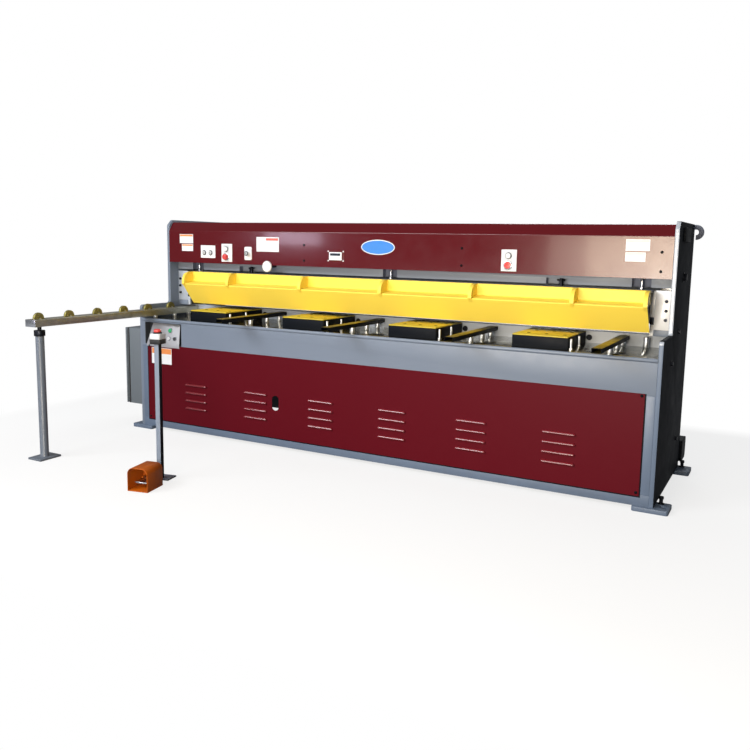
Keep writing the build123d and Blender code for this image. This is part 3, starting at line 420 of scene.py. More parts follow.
def turned(shape, profile, matrix, index=0, steps=40):
    """Add a turned shape from (radius, height) points, about its own Z, set by a matrix."""
    rings = []
    for radius, height in profile:
        if radius < 1e-7:
            rings.append([shape.verts.new(matrix @ Vector((0, 0, height)))])
            continue
        ring = []
        for step in range(steps):
            angle = 2 * math.pi * step / steps
            ring.append(shape.verts.new(matrix @ Vector((radius * math.cos(angle),
                                                         radius * math.sin(angle), height))))
        rings.append(ring)
    for lower, upper in zip(rings, rings[1:]):
        for step in range(steps):
            after = (step + 1) % steps
            if len(lower) == 1:
                corners = [lower[0], upper[after], upper[step]]
            elif len(upper) == 1:
                corners = [lower[step], lower[after], upper[0]]
            else:
                corners = [lower[step], lower[after], upper[after], upper[step]]
            face = shape.faces.new(corners)
            face.material_index = index
    for ring in (rings[0], rings[-1]):
        if len(ring) > 1:
            face = shape.faces.new(ring)
            face.material_index = index


def facing(x, y, z, direction):
    """A matrix at a place whose Z points along a direction."""
    turn = Vector(direction).to_track_quat("Z", "Y").to_matrix().to_4x4()
    return Matrix.Translation((x, y, z)) @ turn


# Folded sheet, pierced panels and repeated fittings

def arc_corner(before, corner, after, radius):
    """The points of a bend at a corner of a line."""
    steps = 6
    first = (Vector(before) - Vector(corner)).normalized()
    second = (Vector(after) - Vector(corner)).normalized()
    opening = first.angle(second)
    cut = radius / math.tan(opening / 2)
    centre = Vector(corner) + (first + second).normalized() * radius / math.sin(opening / 2)
    start = Vector(corner) + first * cut - centre
    end = Vector(corner) + second * cut - centre
    begin, turn = math.atan2(start.y, start.x), start.angle_signed(end)
    points = []
    for step in range(steps + 1):
        angle = begin - turn * step / steps
        points.append(centre + Vector((math.cos(angle), math.sin(angle))) * radius)
    return points


def folded_line(points, radius):
    """A (y, z) line with its corners bent to a radius."""
    line = [Vector(points[0])]
    for before, corner, after in zip(points, points[1:], points[2:]):
        line += arc_corner(before, corner, after, radius)
    line.append(Vector(points[-1]))
    return line


def folded_sheet(shape, points, thickness, radius, span):
    """Add a sheet folded along a (y, z) line; its thickness lies to the right of the line."""
    line = folded_line(points, radius)
    offsets = []
    for place, here in enumerate(line):
        before = (here - line[place - 1]).normalized() if place else None
        after = (line[place + 1] - here).normalized() if place + 1 < len(line) else None
        at_end = before is None or after is None
        along = (before or after) if at_end else (before + after).normalized()
        side = Vector((along.y, -along.x))
        grow = 1.0 if at_end else 1 / max(0.5, side.dot(Vector((before.y, -before.x))))
        offsets.append(here + side * thickness * grow)
    outline = line + offsets[::-1]
    count, half = len(outline), len(line)
    ends = [[shape.verts.new((x, p.x, p.y)) for p in outline] for x in span]
    for step in range(count):
        after = (step + 1) % count
        shape.faces.new((ends[0][step], ends[0][after], ends[1][after], ends[1][step]))
    for end in ends:
        for step in range(half - 1):
            shape.faces.new((end[step], end[step + 1], end[count - 2 - step], end[count - 1 - step]))


def plate(shape, outline, depth, index=0):
    """Add a plate: an outline of (x, y, z) points, carried along a thickness vector."""
    low = [shape.verts.new(p) for p in outline]
    high = [shape.verts.new(Vector(p) + Vector(depth)) for p in outline]
    count = len(outline)
    faces = [shape.faces.new(low), shape.faces.new(high)]
    for step in range(count):
        after = (step + 1) % count
        faces.append(shape.faces.new((low[step], low[after], high[after], high[step])))
    for face in faces:
        face.material_index = index


def rounded_outline(width, height, radius, steps):
    """The (u, v) points of a rectangle with round corners."""
    points = []
    for corner, (su, sv) in enumerate(((1, 1), (-1, 1), (-1, -1), (1, -1))):
        for step in range(steps + 1):
            angle = math.pi / 2 * (corner + step / steps)
            points.append((su * (width / 2 - radius) + radius * math.cos(angle),
                           sv * (height / 2 - radius) + radius * math.sin(angle)))
    return points


def applied(made):
    """An object's evaluated mesh as plain mesh data, with the object taken away."""
    graph = bpy.context.evaluated_depsgraph_get()
    mesh_data = bpy.data.meshes.new_from_object(made.evaluated_get(graph))
    mesh_data.name = made.name
    bpy.data.objects.remove(made)
    return mesh_data


def new_tree(name, inputs):
    """A Geometry Nodes tree with named inputs, and its two end nodes."""
    tree = bpy.data.node_groups.new(name, "GeometryNodeTree")
    geometry = "NodeSocketGeometry"
    add_inputs(tree, [("Geometry", geometry, None)] + inputs + [("Material", "NodeSocketMaterial", None)])
    tree.interface.new_socket("Geometry", in_out="OUTPUT", socket_type=geometry)
    return tree, tree.nodes.new("NodeGroupInput"), tree.nodes.new("NodeGroupOutput")


def end_tree(tree, given, placed, out):
    """End a tree: its copies made real, with the material that it is given."""
    real = tree.nodes.new("GeometryNodeRealizeInstances")
    wire(tree, placed.outputs[0], real.inputs[0])
    painted = tree.nodes.new("GeometryNodeSetMaterial")
    wire(tree, real.outputs[0], painted.inputs["Geometry"])
    wire(tree, given.outputs["Material"], painted.inputs["Material"])
    wire(tree, painted.outputs[0], out.inputs[0])


def run_tree(name, tree, values, start=None):
    """Run a tree on a start mesh and return the resulting plain mesh data."""
    made = in_scene(name, start or bpy.data.meshes.new(name))
    modifier = made.modifiers.new("build", "NODES")
    modifier.node_group = tree
    names = {item.name: item.identifier for item in tree.interface.items_tree if item.in_out == "INPUT"}
    for label, value in values.items():
        modifier[names[label]] = value
    return applied(made)


def make_fitting_tree():
    """Sets one fitting on every point of a mesh, turned and then rolled a little at random."""
    tree, given, out = new_tree("set_fittings", [
        ("Fitting", "NodeSocketObject", None), ("Turn", VECTOR, (0, 0, 0)),
        ("Size", FLOAT, 1.0), ("Roll Seed", "NodeSocketInt", 7)])
    info = tree.nodes.new("GeometryNodeObjectInfo")
    wire(tree, given.outputs["Fitting"], info.inputs["Object"])
    points = tree.nodes.new("GeometryNodeMeshToPoints")
    wire(tree, given.outputs["Geometry"], points.inputs["Mesh"])
    roll = tree.nodes.new("FunctionNodeRandomValue")
    roll.data_type = "FLOAT"
    limits = {"Min": 0.0, "Max": 6.283}
    for socket in roll.inputs:
        if socket.type == "VALUE" and socket.name in limits:
            socket.default_value = limits[socket.name]
    wire(tree, given.outputs["Roll Seed"], roll.inputs["Seed"])
    rolled = tree.nodes.new("ShaderNodeCombineXYZ")
    wire(tree, next(o for o in roll.outputs if o.type == "VALUE" and o.enabled), rolled.inputs["Z"])
    spin = tree.nodes.new("FunctionNodeEulerToRotation")
    wire(tree, rolled.outputs[0], spin.inputs[0])
    face = tree.nodes.new("FunctionNodeEulerToRotation")
    wire(tree, given.outputs["Turn"], face.inputs[0])
    both = tree.nodes.new("FunctionNodeRotateRotation")
    both.rotation_space = "LOCAL"
    wire(tree, face.outputs[0], both.inputs[0])
    wire(tree, spin.outputs[0], both.inputs[1])
    placed = tree.nodes.new("GeometryNodeInstanceOnPoints")
    wire(tree, points.outputs[0], placed.inputs["Points"])
    wire(tree, info.outputs["Geometry"], placed.inputs["Instance"])
    wire(tree, both.outputs[0], placed.inputs["Rotation"])
    wire(tree, given.outputs["Size"], placed.inputs["Scale"])
    end_tree(tree, given, placed, out)
    return tree


def make_louvre_tree():
    """Rows and columns of pressed hoods with rounded ends, open above."""
    tree, given, out = new_tree("louvre_rows", [
        ("Columns", "NodeSocketInt", 6), ("Rows", "NodeSocketInt", 4),
        ("Column Pitch", FLOAT, 0.5), ("Row Pitch", FLOAT, 0.05),
        ("Length", FLOAT, 0.186), ("Depth", FLOAT, 0.013)])
    sheet = tree.nodes.new("GeometryNodeMeshGrid")
    sheet.inputs["Size Y"].default_value = 1.0
    sheet.inputs["Vertices X"].default_value = 49
    sheet.inputs["Vertices Y"].default_value = 9
    wire(tree, given.outputs["Length"], sheet.inputs["Size X"])
    split = tree.nodes.new("ShaderNodeSeparateXYZ")
    wire(tree, tree.nodes.new("GeometryNodeInputPosition").outputs[0], split.inputs[0])
    half = times(tree, given.outputs["Length"], 0.5)
    inner = calculate(tree, "SUBTRACT", half, given.outputs["Depth"])
    reach = calculate(tree, "ABSOLUTE", split.outputs["X"])
    past = calculate(tree, "MAXIMUM", calculate(tree, "SUBTRACT", reach, inner), 0.0)
    share = calculate(tree, "DIVIDE", past, given.outputs["Depth"])
    room = calculate(tree, "SUBTRACT", 1.0, times(tree, share, share))
    rounding = calculate(tree, "SQRT", calculate(tree, "MAXIMUM", room, 0.0))
    swell = times(tree, rounding, given.outputs["Depth"])
    start, sweep = math.radians(38), math.radians(128)
    turn = times(tree, calculate(tree, "ADD", split.outputs["Y"], 0.5), sweep)
    angle = calculate(tree, "SUBTRACT", turn, start)
    place = tree.nodes.new("ShaderNodeCombineXYZ")
    wire(tree, split.outputs["X"], place.inputs["X"])
    forward = times(tree, calculate(tree, "SINE", angle), swell)
    wire(tree, times(tree, forward, -1.0), place.inputs["Y"])
    wire(tree, times(tree, calculate(tree, "COSINE", angle), swell), place.inputs["Z"])
    hood = tree.nodes.new("GeometryNodeSetPosition")
    wire(tree, sheet.outputs["Mesh"], hood.inputs["Geometry"])
    wire(tree, place.outputs[0], hood.inputs["Position"])
    spots = tree.nodes.new("GeometryNodeMeshGrid")
    for axis, pitch, count in (("X", "Column Pitch", "Columns"), ("Y", "Row Pitch", "Rows")):
        wire(tree, given.outputs[count], spots.inputs[f"Vertices {axis}"])
        steps = calculate(tree, "SUBTRACT", given.outputs[count], 1.0)
        wire(tree, times(tree, steps, given.outputs[pitch]), spots.inputs[f"Size {axis}"])
    upright = tree.nodes.new("GeometryNodeTransform")
    upright.inputs["Rotation"].default_value = (math.pi / 2, 0, 0)
    wire(tree, spots.outputs["Mesh"], upright.inputs["Geometry"])
    placed = tree.nodes.new("GeometryNodeInstanceOnPoints")
    wire(tree, upright.outputs[0], placed.inputs["Points"])
    wire(tree, hood.outputs[0], placed.inputs["Instance"])
    end_tree(tree, given, placed, out)
    return tree


FITTING_TREE = make_fitting_tree()
LOUVRE_TREE = make_louvre_tree()


def head_object(name, profile, hex_from=None, hex_to=None):
    """A screw head about Z; the rings numbered hex_from to hex_to follow a hexagon."""
    steps = 24
    shape = bmesh.new()
    turned(shape, profile, Matrix.Identity(4), 0, steps)
    if hex_from is not None:
        for place, vertex in enumerate(shape.verts):
            ring = place // steps
            if hex_from <= ring <= hex_to:
                angle = math.atan2(vertex.co.y, vertex.co.x) % (math.pi / 3) - math.pi / 6
                grow = math.cos(math.pi / 6) / math.cos(angle)
                vertex.co.x *= grow
                vertex.co.y *= grow
    return bpy.data.objects.new(name, to_mesh(name, shape, [DARK_STEEL], 30))


# Heads are one metre in radius here, and are set at their real size
SOCKET_HEAD = head_object("socket_head", [(1.0, 0.0), (1.0, 1.0), (0.86, 1.14), (0.56, 1.14),
                                          (0.56, 0.5), (0.0, 0.5)], 3, 4)
BUTTON_HEAD = head_object("button_head", [(1.0, 0.0), (1.0, 0.12), (0.9, 0.34), (0.7, 0.52), (0.42, 0.6),
                                          (0.42, 0.22), (0.0, 0.22)], 4, 5)
HEX_HEAD = head_object("hex_head", [(1.3, 0.0), (1.3, 0.16), (1.0, 0.17), (1.0, 0.76), (0.86, 0.86),
                                    (0.0, 0.86)], 2, 3)
LEVEL_HEAD = head_object("levelling_bolt", [(1.3, 0.0), (1.3, 0.25), (0.72, 0.26), (0.72, 1.9),
                                            (1.0, 1.91), (1.0, 2.8), (0.86, 2.95), (0.0, 2.95)], 4, 5)
PLUG_HEAD = head_object("sunk_plug", [(1.0, 0.0), (1.0, 0.10), (0.8, 0.12), (0.74, 0.03), (0.0, 0.03)])


def fit(name, head, places, direction, size, material):
    """Set fittings with their foot at each place, pointing along a direction."""
    points = bpy.data.meshes.new(name)
    points.from_pydata([tuple(p) for p in places], [], [])
    turn = Vector(direction).to_track_quat("Z", "Y").to_euler("XYZ")
    values = {"Fitting": head, "Turn": tuple(turn), "Size": size, "Roll Seed": len(places),
              "Material": material}
    piece(name, run_tree(name, FITTING_TREE, values, points))


# Panels

def pierced(name, shape, cutter, material):
    """Cut one mesh out of another, and soften what is left."""
    sheet = in_scene(name, to_mesh(name, shape, [material]))
    tool = in_scene(name + "_cuts", to_mesh(name + "_cuts", cutter, [material]))
    cut = sheet.modifiers.new("cut", "BOOLEAN")
    cut.object = tool
    cut.solver = "EXACT"
    mesh_data = applied(sheet)
    bpy.data.objects.remove(tool)
    left = bmesh.new()
    left.from_mesh(mesh_data)
    round_edges(left, 0.0006, 1, 60)
    return left


def make_lower_panel():
    """The louvred panel: a pierced sheet with hoods over its slots and an oblong finger hole."""
    columns, column_pitch, middle = 6, 0.499, 0.003
    rows, row_pitch, lowest = 4, 0.054, 0.186
    slot_half, slot_height, through = 0.08, 0.009, 0.02
    shape = bmesh.new()
    block(shape, (-1.677, PANEL_FACE, 0.076), (1.677, FRONT, 0.608), 0)
    cutter = bmesh.new()
    for column in range(columns):
        x = middle + (column - (columns - 1) / 2) * column_pitch
        for row in range(rows):
            z = lowest + row * row_pitch
            block(cutter, (x - slot_half, FRONT - through, z),
                  (x + slot_half, FRONT + through, z + slot_height), 0)
    finger_hole = rounded_outline(0.052, 0.096, 0.0255, 8)
    plate(cutter, [(-0.588 + u, FRONT - through, 0.305 + v) for u, v in finger_hole], (0, 2 * through, 0))
    shape = pierced("lower_panel_sheet", shape, cutter, MAROON)
    add_piece("lower_panel_sheet", shape, [MAROON], stands_for=("lower_panel",),
              smooth_angle=30)
    # The hoods' first surface, their inner wall, is black as painted shade inside the slots
    values = {"Columns": columns, "Rows": rows, "Column Pitch": column_pitch, "Row Pitch": row_pitch,
              "Length": 0.186, "Depth": 0.0125, "Material": BLACK}
    hoods = run_tree("louvre_hoods", LOUVRE_TREE, values)
    shape = bmesh.new()
    shape.from_mesh(hoods)
    bmesh.ops.remove_doubles(shape, verts=shape.verts, dist=1e-5)
    centre = (middle, PANEL_FACE, lowest + (rows - 1) / 2 * row_pitch)
    bmesh.ops.translate(shape, verts=shape.verts, vec=centre)
    shape.to_mesh(hoods)
    shape.free()
    hoods.materials.append(LIT_HOOD_MAROON)
    made = in_scene("louvre_hoods", hoods)
    wall = made.modifiers.new("wall", "SOLIDIFY")
    wall.thickness = 0.0014
    wall.offset = -1
    # The new outer shell and its rim take the maroon; the inner wall keeps the black painted shade
    wall.material_offset = 1
    wall.material_offset_rim = 1
    hoods = applied(made)
    for face in hoods.polygons:
        face.use_smooth = True
    piece("louvre_hoods", hoods)


def make_crown_panel():
    """The crown's front sheet, folded back over the roof."""
    shape = bmesh.new()
    back, roof = FRONT + 0.64, 1.455
    line = [(back, 1.413), (back, roof), (CROWN_PLANE + 0.042, roof), (CROWN_PLANE, 1.395),
            (CROWN_PLANE, 1.174)]
    folded_sheet(shape, line, 0.003, 0.006, (-1.7279, 1.7279))
    round_edges(shape, 0.0006, 1, 60)
    paint(shape, 1, lambda turn, place: turn.z > 0.5 and place.z > 1.40)
    add_piece("crown_panel_folded", shape, [CROWN_MAROON, ROOF_MAROON],
              stands_for=("crown_panel",), smooth_angle=30)


def curve_points(control, steps):
    """Points along a curve set by four control points."""
    points = []
    for step in range(steps + 1):
        share = step / steps
        back = 1 - share
        points.append(control[0] * back ** 3 + control[1] * 3 * back ** 2 * share
                      + control[2] * 3 * back * share ** 2 + control[3] * share ** 3)
    return points


def make_guard():
    """The yellow guard: an upright sheet, a ledge, a face sloping in below it, and seven nosed ribs."""
    left, right = -1.515, 1.632
    top_z, flange_back = 1.112, FRONT + 0.398
    top, ledge = Vector((FRONT + 0.262, top_z)), Vector((FRONT + 0.262, 1.044))
    crease, foot = Vector((FRONT + 0.174, 1.030)), Vector((FRONT + 0.292, 0.886))
    shape = bmesh.new()
    line = [foot, crease, ledge, top, Vector((flange_back, top_z))]
    folded_sheet(shape, line, 0.0035, 0.006, (left, right))
    cutter = bmesh.new()
    for x in HOLD_RODS:
        block(cutter, (x - 0.02, FRONT + 0.34, 1.1), (x + 0.02, FRONT + 0.41, 1.12), 0)
    shape = pierced("finger_guard_folded", shape, cutter, YELLOW)
    tab_low = (GUARD_RODS[0] - 0.016, FRONT + 0.361, 1.1086)
    block(shape, tab_low, (left + 0.01, flange_back, 1.1119), 0.0007, 1)
    # The top flange and tab are painted dark grey as painted shade, the dark line above the guard
    paint(shape, 1, lambda turn, place: place.y > FRONT + 0.27 and place.z > 1.1)
    thick, pitch = 0.022, 0.589
    between = [-1.118 - thick / 2 + pitch * step for step in range(5)]
    nose = curve_points((top, Vector((top.x - 0.062, top.y + 0.001)),
                         Vector((crease.x - 0.002, crease.y + 0.062)),
                         Vector((crease.x - 0.004, crease.y))), 12)
    low = crease + (foot - crease) * (0.024 / (crease.y - foot.y))
    inside = Vector((0.001, -0.001))
    inner = [low, crease + Vector((0.004, -0.001)), ledge + inside, top + inside]
    for x in [left] + between + [right - thick]:
        rib = bmesh.new()
        plate(rib, [(x, p.x, p.y) for p in nose + inner], (thick, 0, 0))
        round_edges(rib, 0.0012, 2, 40)
        rib_data = to_mesh("rib", rib, [YELLOW])
        shape.from_mesh(rib_data)
        bpy.data.meshes.remove(rib_data)
    add_piece("finger_guard_folded", shape, [YELLOW, SHADE_AND_HOOK_GREY],
              stands_for=("finger_guard",), smooth_angle=30)


make_lower_panel()
make_crown_panel()
make_guard()
dress("table_shelf", GREY, others=(
    (SHELF_STEEL, lambda turn, place: turn.z > 0.9 and place.y > FRONT),))

for name, material, slot in (
    ("side_plate_left", GREY, "grey_paint"),
    ("foot_plates", STILE_GREY, "grey_paint"), ("guide_blocks", BLACK, "black_paint"),
    ("bed_apron", GREY, "grey_paint"), ("bed_bottom_rail", STILE_GREY, "grey_paint"),
    ("bed_stiles", STILE_GREY, "grey_paint"),
    ("lower_blade", GROUND, "blade_steel"), ("ram_guides", GROUND, "machined_steel"),
    ("guard_rods", BRIGHT_ZINC_AND_HIGHLIGHT, "bright_steel"),
    ("table_blocks", BLACK, "black_paint"), ("block_plates", PLATE_YELLOW, "yellow_paint"),
    ("block_standoffs", POST_ZINC, "bright_steel"), ("support_posts", POST_ZINC, "bright_steel"),
    ("arm_leg", LEG_GREY, "grey_paint"), ("leg_collar", DARK_STEEL, "black_paint"),
    # The control pocket's walls take the dark grey painted as shade
    ("cabinet_body", CABINET_GREY, "grey_paint"), ("control_pocket", SHADED_SIDE_GREY, "grey_paint"),
    ("control_plate", CONTROL_GREY, "grey_plastic"), ("button_boxes", WHITE, "grey_plastic"),
    ("selector_plate", WHITE, "grey_plastic"),
    ("stop_station", BLACK_PLASTIC, "black_plastic"), ("stop_cap", PALE_PLASTIC, "grey_plastic"),
    ("stop_button", RED_PLASTIC, "red_plastic"), ("pedal_guard", ORANGE, "orange_paint"),
    ("pedal_base", ORANGE, "orange_paint"), ("rear_cover", GREY, "grey_paint"),
    ("scrap_chute", GREY, "grey_paint"), ("rear_tie_bar", GREY, "grey_paint"),
    ("drive_motor", CASTING, "cast_grey"), ("belt_cover", BLACK, "black_paint"),
    ("lifting_hooks", SHADE_AND_HOOK_GREY, "grey_paint"), ("door_seal", RUBBER, "seal_rubber"),
):
    dress(name, material)


def on_beam_front(turn, place):
    """The crown beam's front, and the backs of its two wide notches: the faces that get the light grey as
    painted light.
    """
    in_notch = abs(place.x + 0.978) < 0.15 or abs(place.x - 1.1) < 0.05
    return turn.y < -0.5 and (place.y < FRONT + 0.373 or in_notch)


# The right side plate is painted darker than the left as painted shade on its unlit faces, with painted
# light on its upper front faces
dress("side_plate_right", SHADED_SIDE_GREY, others=(
    (LIT_AND_SHADED_GREY, lambda turn, place: turn.y < -0.5 and place.z > 0.78),
    (STILE_GREY, lambda turn, place: turn.y < -0.5 and place.z <= 0.78)))
# The crown beam is dark grey as painted shade in its notches and on its unlit faces, with its front faces
# in the light grey as painted light
dress("crown_beam", SHADE_AND_HOOK_GREY, others=((LIT_BEAM_GREY, on_beam_front),))
# The arm's front end faces get the brighter zinc as a painted highlight
dress("squaring_arm", ZINC, others=((BRIGHT_ZINC_AND_HIGHLIGHT, lambda turn, place: turn.y < -0.9),))
dress("counter", BLACK_PLASTIC, others=((CROWN_MAROON, lambda turn, place: turn.y < -0.5),))
# The post's faces towards +x are painted black as painted shade
dress("pedestal_post", GREY, others=((BLACK, lambda turn, place: turn.x > 0.5),))
# The left end plate gets the pale grey in place of white, as painted shade
dress("end_plates", PLATE_WHITE, others=((LIT_AND_SHADED_GREY, lambda turn, place: place.x < 0),))
# The bars' sides and undersides are painted black as painted shade; only their tops keep the olive zinc
dress("support_bars", BAR_ZINC, others=((BLACK, lambda turn, place: turn.z < 0.5),))
# The bed beam's front faces get the pale grey as painted light
dress("bed_beam", GREY, others=((LIT_AND_SHADED_GREY, lambda turn, place: turn.y < -0.5),))
dress("ram", GREY, "ram")
dress("upper_blade", GROUND, "ram")
dress("back_gauge_arms", CASTING, "ram")
dress("back_gauge_bar", GROUND, "ram")
dress("hold_down_beam", GREY, "hold_down", others=(
    (DARK_STEEL, lambda turn, place: place.z > 1.086),))
dress("cabinet_door", CABINET_GREY, "cabinet_door")
dress("pedal_treadle", BRIGHT_ZINC_AND_HIGHLIGHT, "treadle")
for number in range(1, 7):
    dress(f"arm_roller_{number}", ZINC_ROLLER, f"roller_{number}")


# Buttons, plates and labels

def strip(shape, low, high, face, thick, index=0):
    """Add a thin upright plate on a front face, from (x, z) corners."""
    block(shape, (low[0], face - thick, low[1]), (high[0], face, high[1]), 0.0003, 1, index)


def make_oval():
    """The bare blue oval with its white rim."""
    shape = bmesh.new()
    steps = 64
    for wide, high, front, index in ((0.118, 0.0464, 0.0032, 1), (0.1125, 0.0412, 0.0044, 0)):
        ring = []
        for step in range(steps):
            angle = 2 * math.pi * step / steps
            ring.append((-0.012 + wide * math.cos(angle), CROWN_FACE - front,
                         1.3085 + high * math.sin(angle)))
        plate(shape, ring, (0, front, 0), index)
    round_edges(shape, 0.0005, 1, 60)
    add_piece("oval_plate_rimmed", shape, [BLUE_PLATE, WHITE], stands_for=("oval_plate",))


def make_labels():
    """The bare labels on the crown and the lower panel, and the white plate under the two dials."""
    shape = bmesh.new()
    paper, orange, red, cream = range(4)
    margin = 0.003
    for face, low, high, head, index in (
        (CROWN_FACE, (-1.627, 1.310), (-1.504, 1.374), 0.25, orange),
        (CROWN_FACE, (-1.608, 1.255), (-1.505, 1.305), 0.28, orange),
        (CROWN_FACE, (1.485, 1.318), (1.608, 1.378), 0.25, cream),
        (CROWN_FACE, (1.485, 1.261), (1.589, 1.310), 0.28, cream),
        (PANEL_FACE, (-1.642, 0.476), (-1.460, 0.587), 0.36, orange),
    ):
        strip(shape, low, high, face, 0.0008, paper)
        top = high[1] - (high[1] - low[1]) * head
        strip(shape, (low[0] + margin, top), (high[0] - margin, high[1] - margin), face - 0.0006, 0.0006,
              index)
    strip(shape, (-0.946, 1.264), (-0.762, 1.361), CROWN_FACE, 0.0015, paper)
    strip(shape, (-0.868, 1.338), (-0.768, 1.354), CROWN_FACE - 0.0013, 0.0006, red)
    strip(shape, (-1.432, 1.211), (-1.303, 1.298), CROWN_FACE, 0.002, paper)
    add_piece("bare_labels", shape, [PAPER_WHITE, PAPER_ORANGE, PAPER_RED, PAPER_CREAM])


def push_button(shape, matrix, radius, height, index, collar):
    """A domed button in its collar."""
    turned(shape, [(radius * 1.25, 0.0), (radius * 1.25, 0.003), (radius * 1.12, 0.005),
                   (radius * 1.02, 0.005)], matrix, collar, 32)
    turned(shape, [(radius, 0.0), (radius, height * 0.7), (radius * 0.9, height * 0.93),
                   (radius * 0.55, height), (0.0, height)], matrix, index, 32)


def make_buttons():
    """The push buttons of both boxes, the control plate and the dials."""
    shape = bmesh.new()
    colours = [WHITE_PLASTIC, BRIGHT_ZINC_AND_HIGHLIGHT, RED_PLASTIC, GREEN_PLASTIC, BLACK_PLASTIC, PALE_PLASTIC, CASTING]
    white, ring, red, green, black, pale, shade = range(7)
    face = CROWN_PLANE - 0.008
    for x, z, radius, height, colour in (
        (-1.203, 1.275, 0.015, 0.012, white), (-1.203, 1.222, 0.021, 0.024, red),
        (0.838, 1.276, 0.015, 0.011, white), (0.836, 1.222, 0.021, 0.013, red),
    ):
        collar = shade if colour == white else ring
        push_button(shape, facing(x, face, z, FORWARD), radius, height, colour, collar)
    out = Vector((0, -0.150, 0.045)).normalized()
    for x, z, radius, height, colour in (
        (-1.489, 0.709, 0.0145, 0.011, green), (-1.491, 0.656, 0.0125, 0.009, pale),
        (-1.438, 0.657, 0.0125, 0.009, black), (-1.590, 0.680, 0.019, 0.022, red),
    ):
        y = FRONT - 0.005 + (z - 0.610) / 0.150 * 0.043
        push_button(shape, facing(x, y, z, out), radius, height, colour, ring)
    for x in (-1.402, -1.345):
        middle = facing(x, CROWN_FACE - 0.002, 1.247, FORWARD)
        turned(shape, [(0.018, 0.0), (0.018, 0.003), (0.016, 0.004), (0.012, 0.004)], middle, shade, 32)
        turned(shape, [(0.013, 0.0), (0.013, 0.009), (0.011, 0.011), (0.0, 0.011)], middle, pale, 32)
        block(shape, (x - 0.0015, CROWN_FACE - 0.0140, 1.240),
              (x + 0.0015, CROWN_FACE - 0.0128, 1.254), 0, index=shade)
    middle = facing(-1.016, CROWN_PLANE - 0.026, 1.249, FORWARD)
    turned(shape, [(0.016, 0.0), (0.016, 0.003), (0.014, 0.004), (0.009, 0.004)], middle, shade, 32)
    turned(shape, [(0.010, 0.0), (0.010, 0.006), (0.008, 0.008), (0.0, 0.008)], middle, pale, 32)
    block(shape, (-1.0175, FRONT + 0.2494, 1.243), (-1.0145, FRONT + 0.2508, 1.255), 0, index=black)
    for x, z in ((-1.203, 1.248), (0.837, 1.248)):
        strip(shape, (x - 0.025, z - 0.056), (x + 0.025, z + 0.054), face, 0.0006, pale)
    add_piece("button_set", shape, colours, stands_for=("push_buttons",))


def make_knob():
    """The pale round knob on the stem that comes out of the crown beam."""
    shape = bmesh.new()
    matrix = facing(-0.852, FRONT + 0.371, 1.165, FORWARD)
    turned(shape, [(0.008, 0.0), (0.008, 0.095)], matrix, 1, 32)
    turned(shape, [(0.030, 0.0942), (0.0375, 0.0955), (0.038, 0.100), (0.035, 0.1052), (0.024, 0.1076),
                   (0.0, 0.1078)], matrix, 0, 48)
    add_piece("panel_knob_turned", shape, [WHITE_PLASTIC, BLACK_PLASTIC],
              stands_for=("panel_knob",))


def make_counter_front():
    """The counter's bezel screws, label field and dark window."""
    shape = bmesh.new()
    face = CROWN_PLANE - 0.006
    field, window = 0, 1
    strip(shape, (-0.367, 1.221), (-0.273, 1.272), face, 0.001, field)
    strip(shape, (-0.359, 1.249), (-0.283, 1.265), face - 0.0008, 0.001, window)
    for x, z in ((-0.373, 1.277), (-0.261, 1.277), (-0.373, 1.217), (-0.261, 1.217)):
        turned(shape, [(0.0048, 0.0), (0.0048, 0.0015), (0.0, 0.0022)], facing(x, face, z, FORWARD),
               field, 16)
    add_piece("counter_front", shape, [PAPER_WHITE, GLASS_DARK])


make_oval()
make_labels()
make_buttons()
make_knob()
make_counter_front()


# Screws, bolts and nuts

def places(xs, y, zs):
    """Every place on an upright plane at the given x and z values."""
    return [(x, y, z) for x in xs for z in zs]


fit("panel_screws", BUTTON_HEAD, places((-0.562, 0.548, 1.670), CROWN_FACE, (1.212, 1.313))
    + places((-1.662, 1.662), PANEL_FACE, (0.094, 0.597)), FORWARD, 0.0078, BLACK)
fit("end_plate_bolts", SOCKET_HEAD, places((-1.707, 1.697), FRONT + 0.371, (0.951, 1.001, 1.052)),
    FORWARD, 0.0085, DARK_STEEL)
fit("block_screws", PLUG_HEAD, [(middle + x, FRONT + y, 0.860) for middle in (-1.179, -0.417, 0.345, 1.107)
                                for x in (-0.088, 0.012, 0.113) for y in (0.14, 0.29, 0.40)],
    UPWARD, 0.0100, BLACK)
fit("bed_plugs", PLUG_HEAD, places((-1.009, -0.247, 0.515, 1.277), FRONT + 0.46, (0.821,)),
    FORWARD, 0.017, DARK_STEEL)
fit("guard_rod_nuts", HEX_HEAD, [(x, FRONT + 0.385, 1.112) for x in GUARD_RODS],
    UPWARD, 0.0105, BRIGHT_ZINC_AND_HIGHLIGHT)
for side, hand in ((-1, "left"), (1, "right")):
    reach, foot = side * 1.750, side * 1.774
    outward = (side, 0, 0)
    fit(f"frame_bolt_{hand}", HEX_HEAD, [(reach, FRONT + 0.551, 1.177)],
        outward, 0.0225, DARK_STEEL)
    fit(f"frame_bolts_{hand}", HEX_HEAD, [(reach, FRONT + y, z) for y, z in (
        (0.506, 0.882), (0.300, 0.730), (0.689, 0.242))], outward, 0.013, DARK_STEEL)
    fit(f"levelling_bolts_{hand}", LEVEL_HEAD, [(foot, FRONT + y, 0.024) for y in (0.100, 0.898)],
        UPWARD, 0.0135, DARK_STEEL)


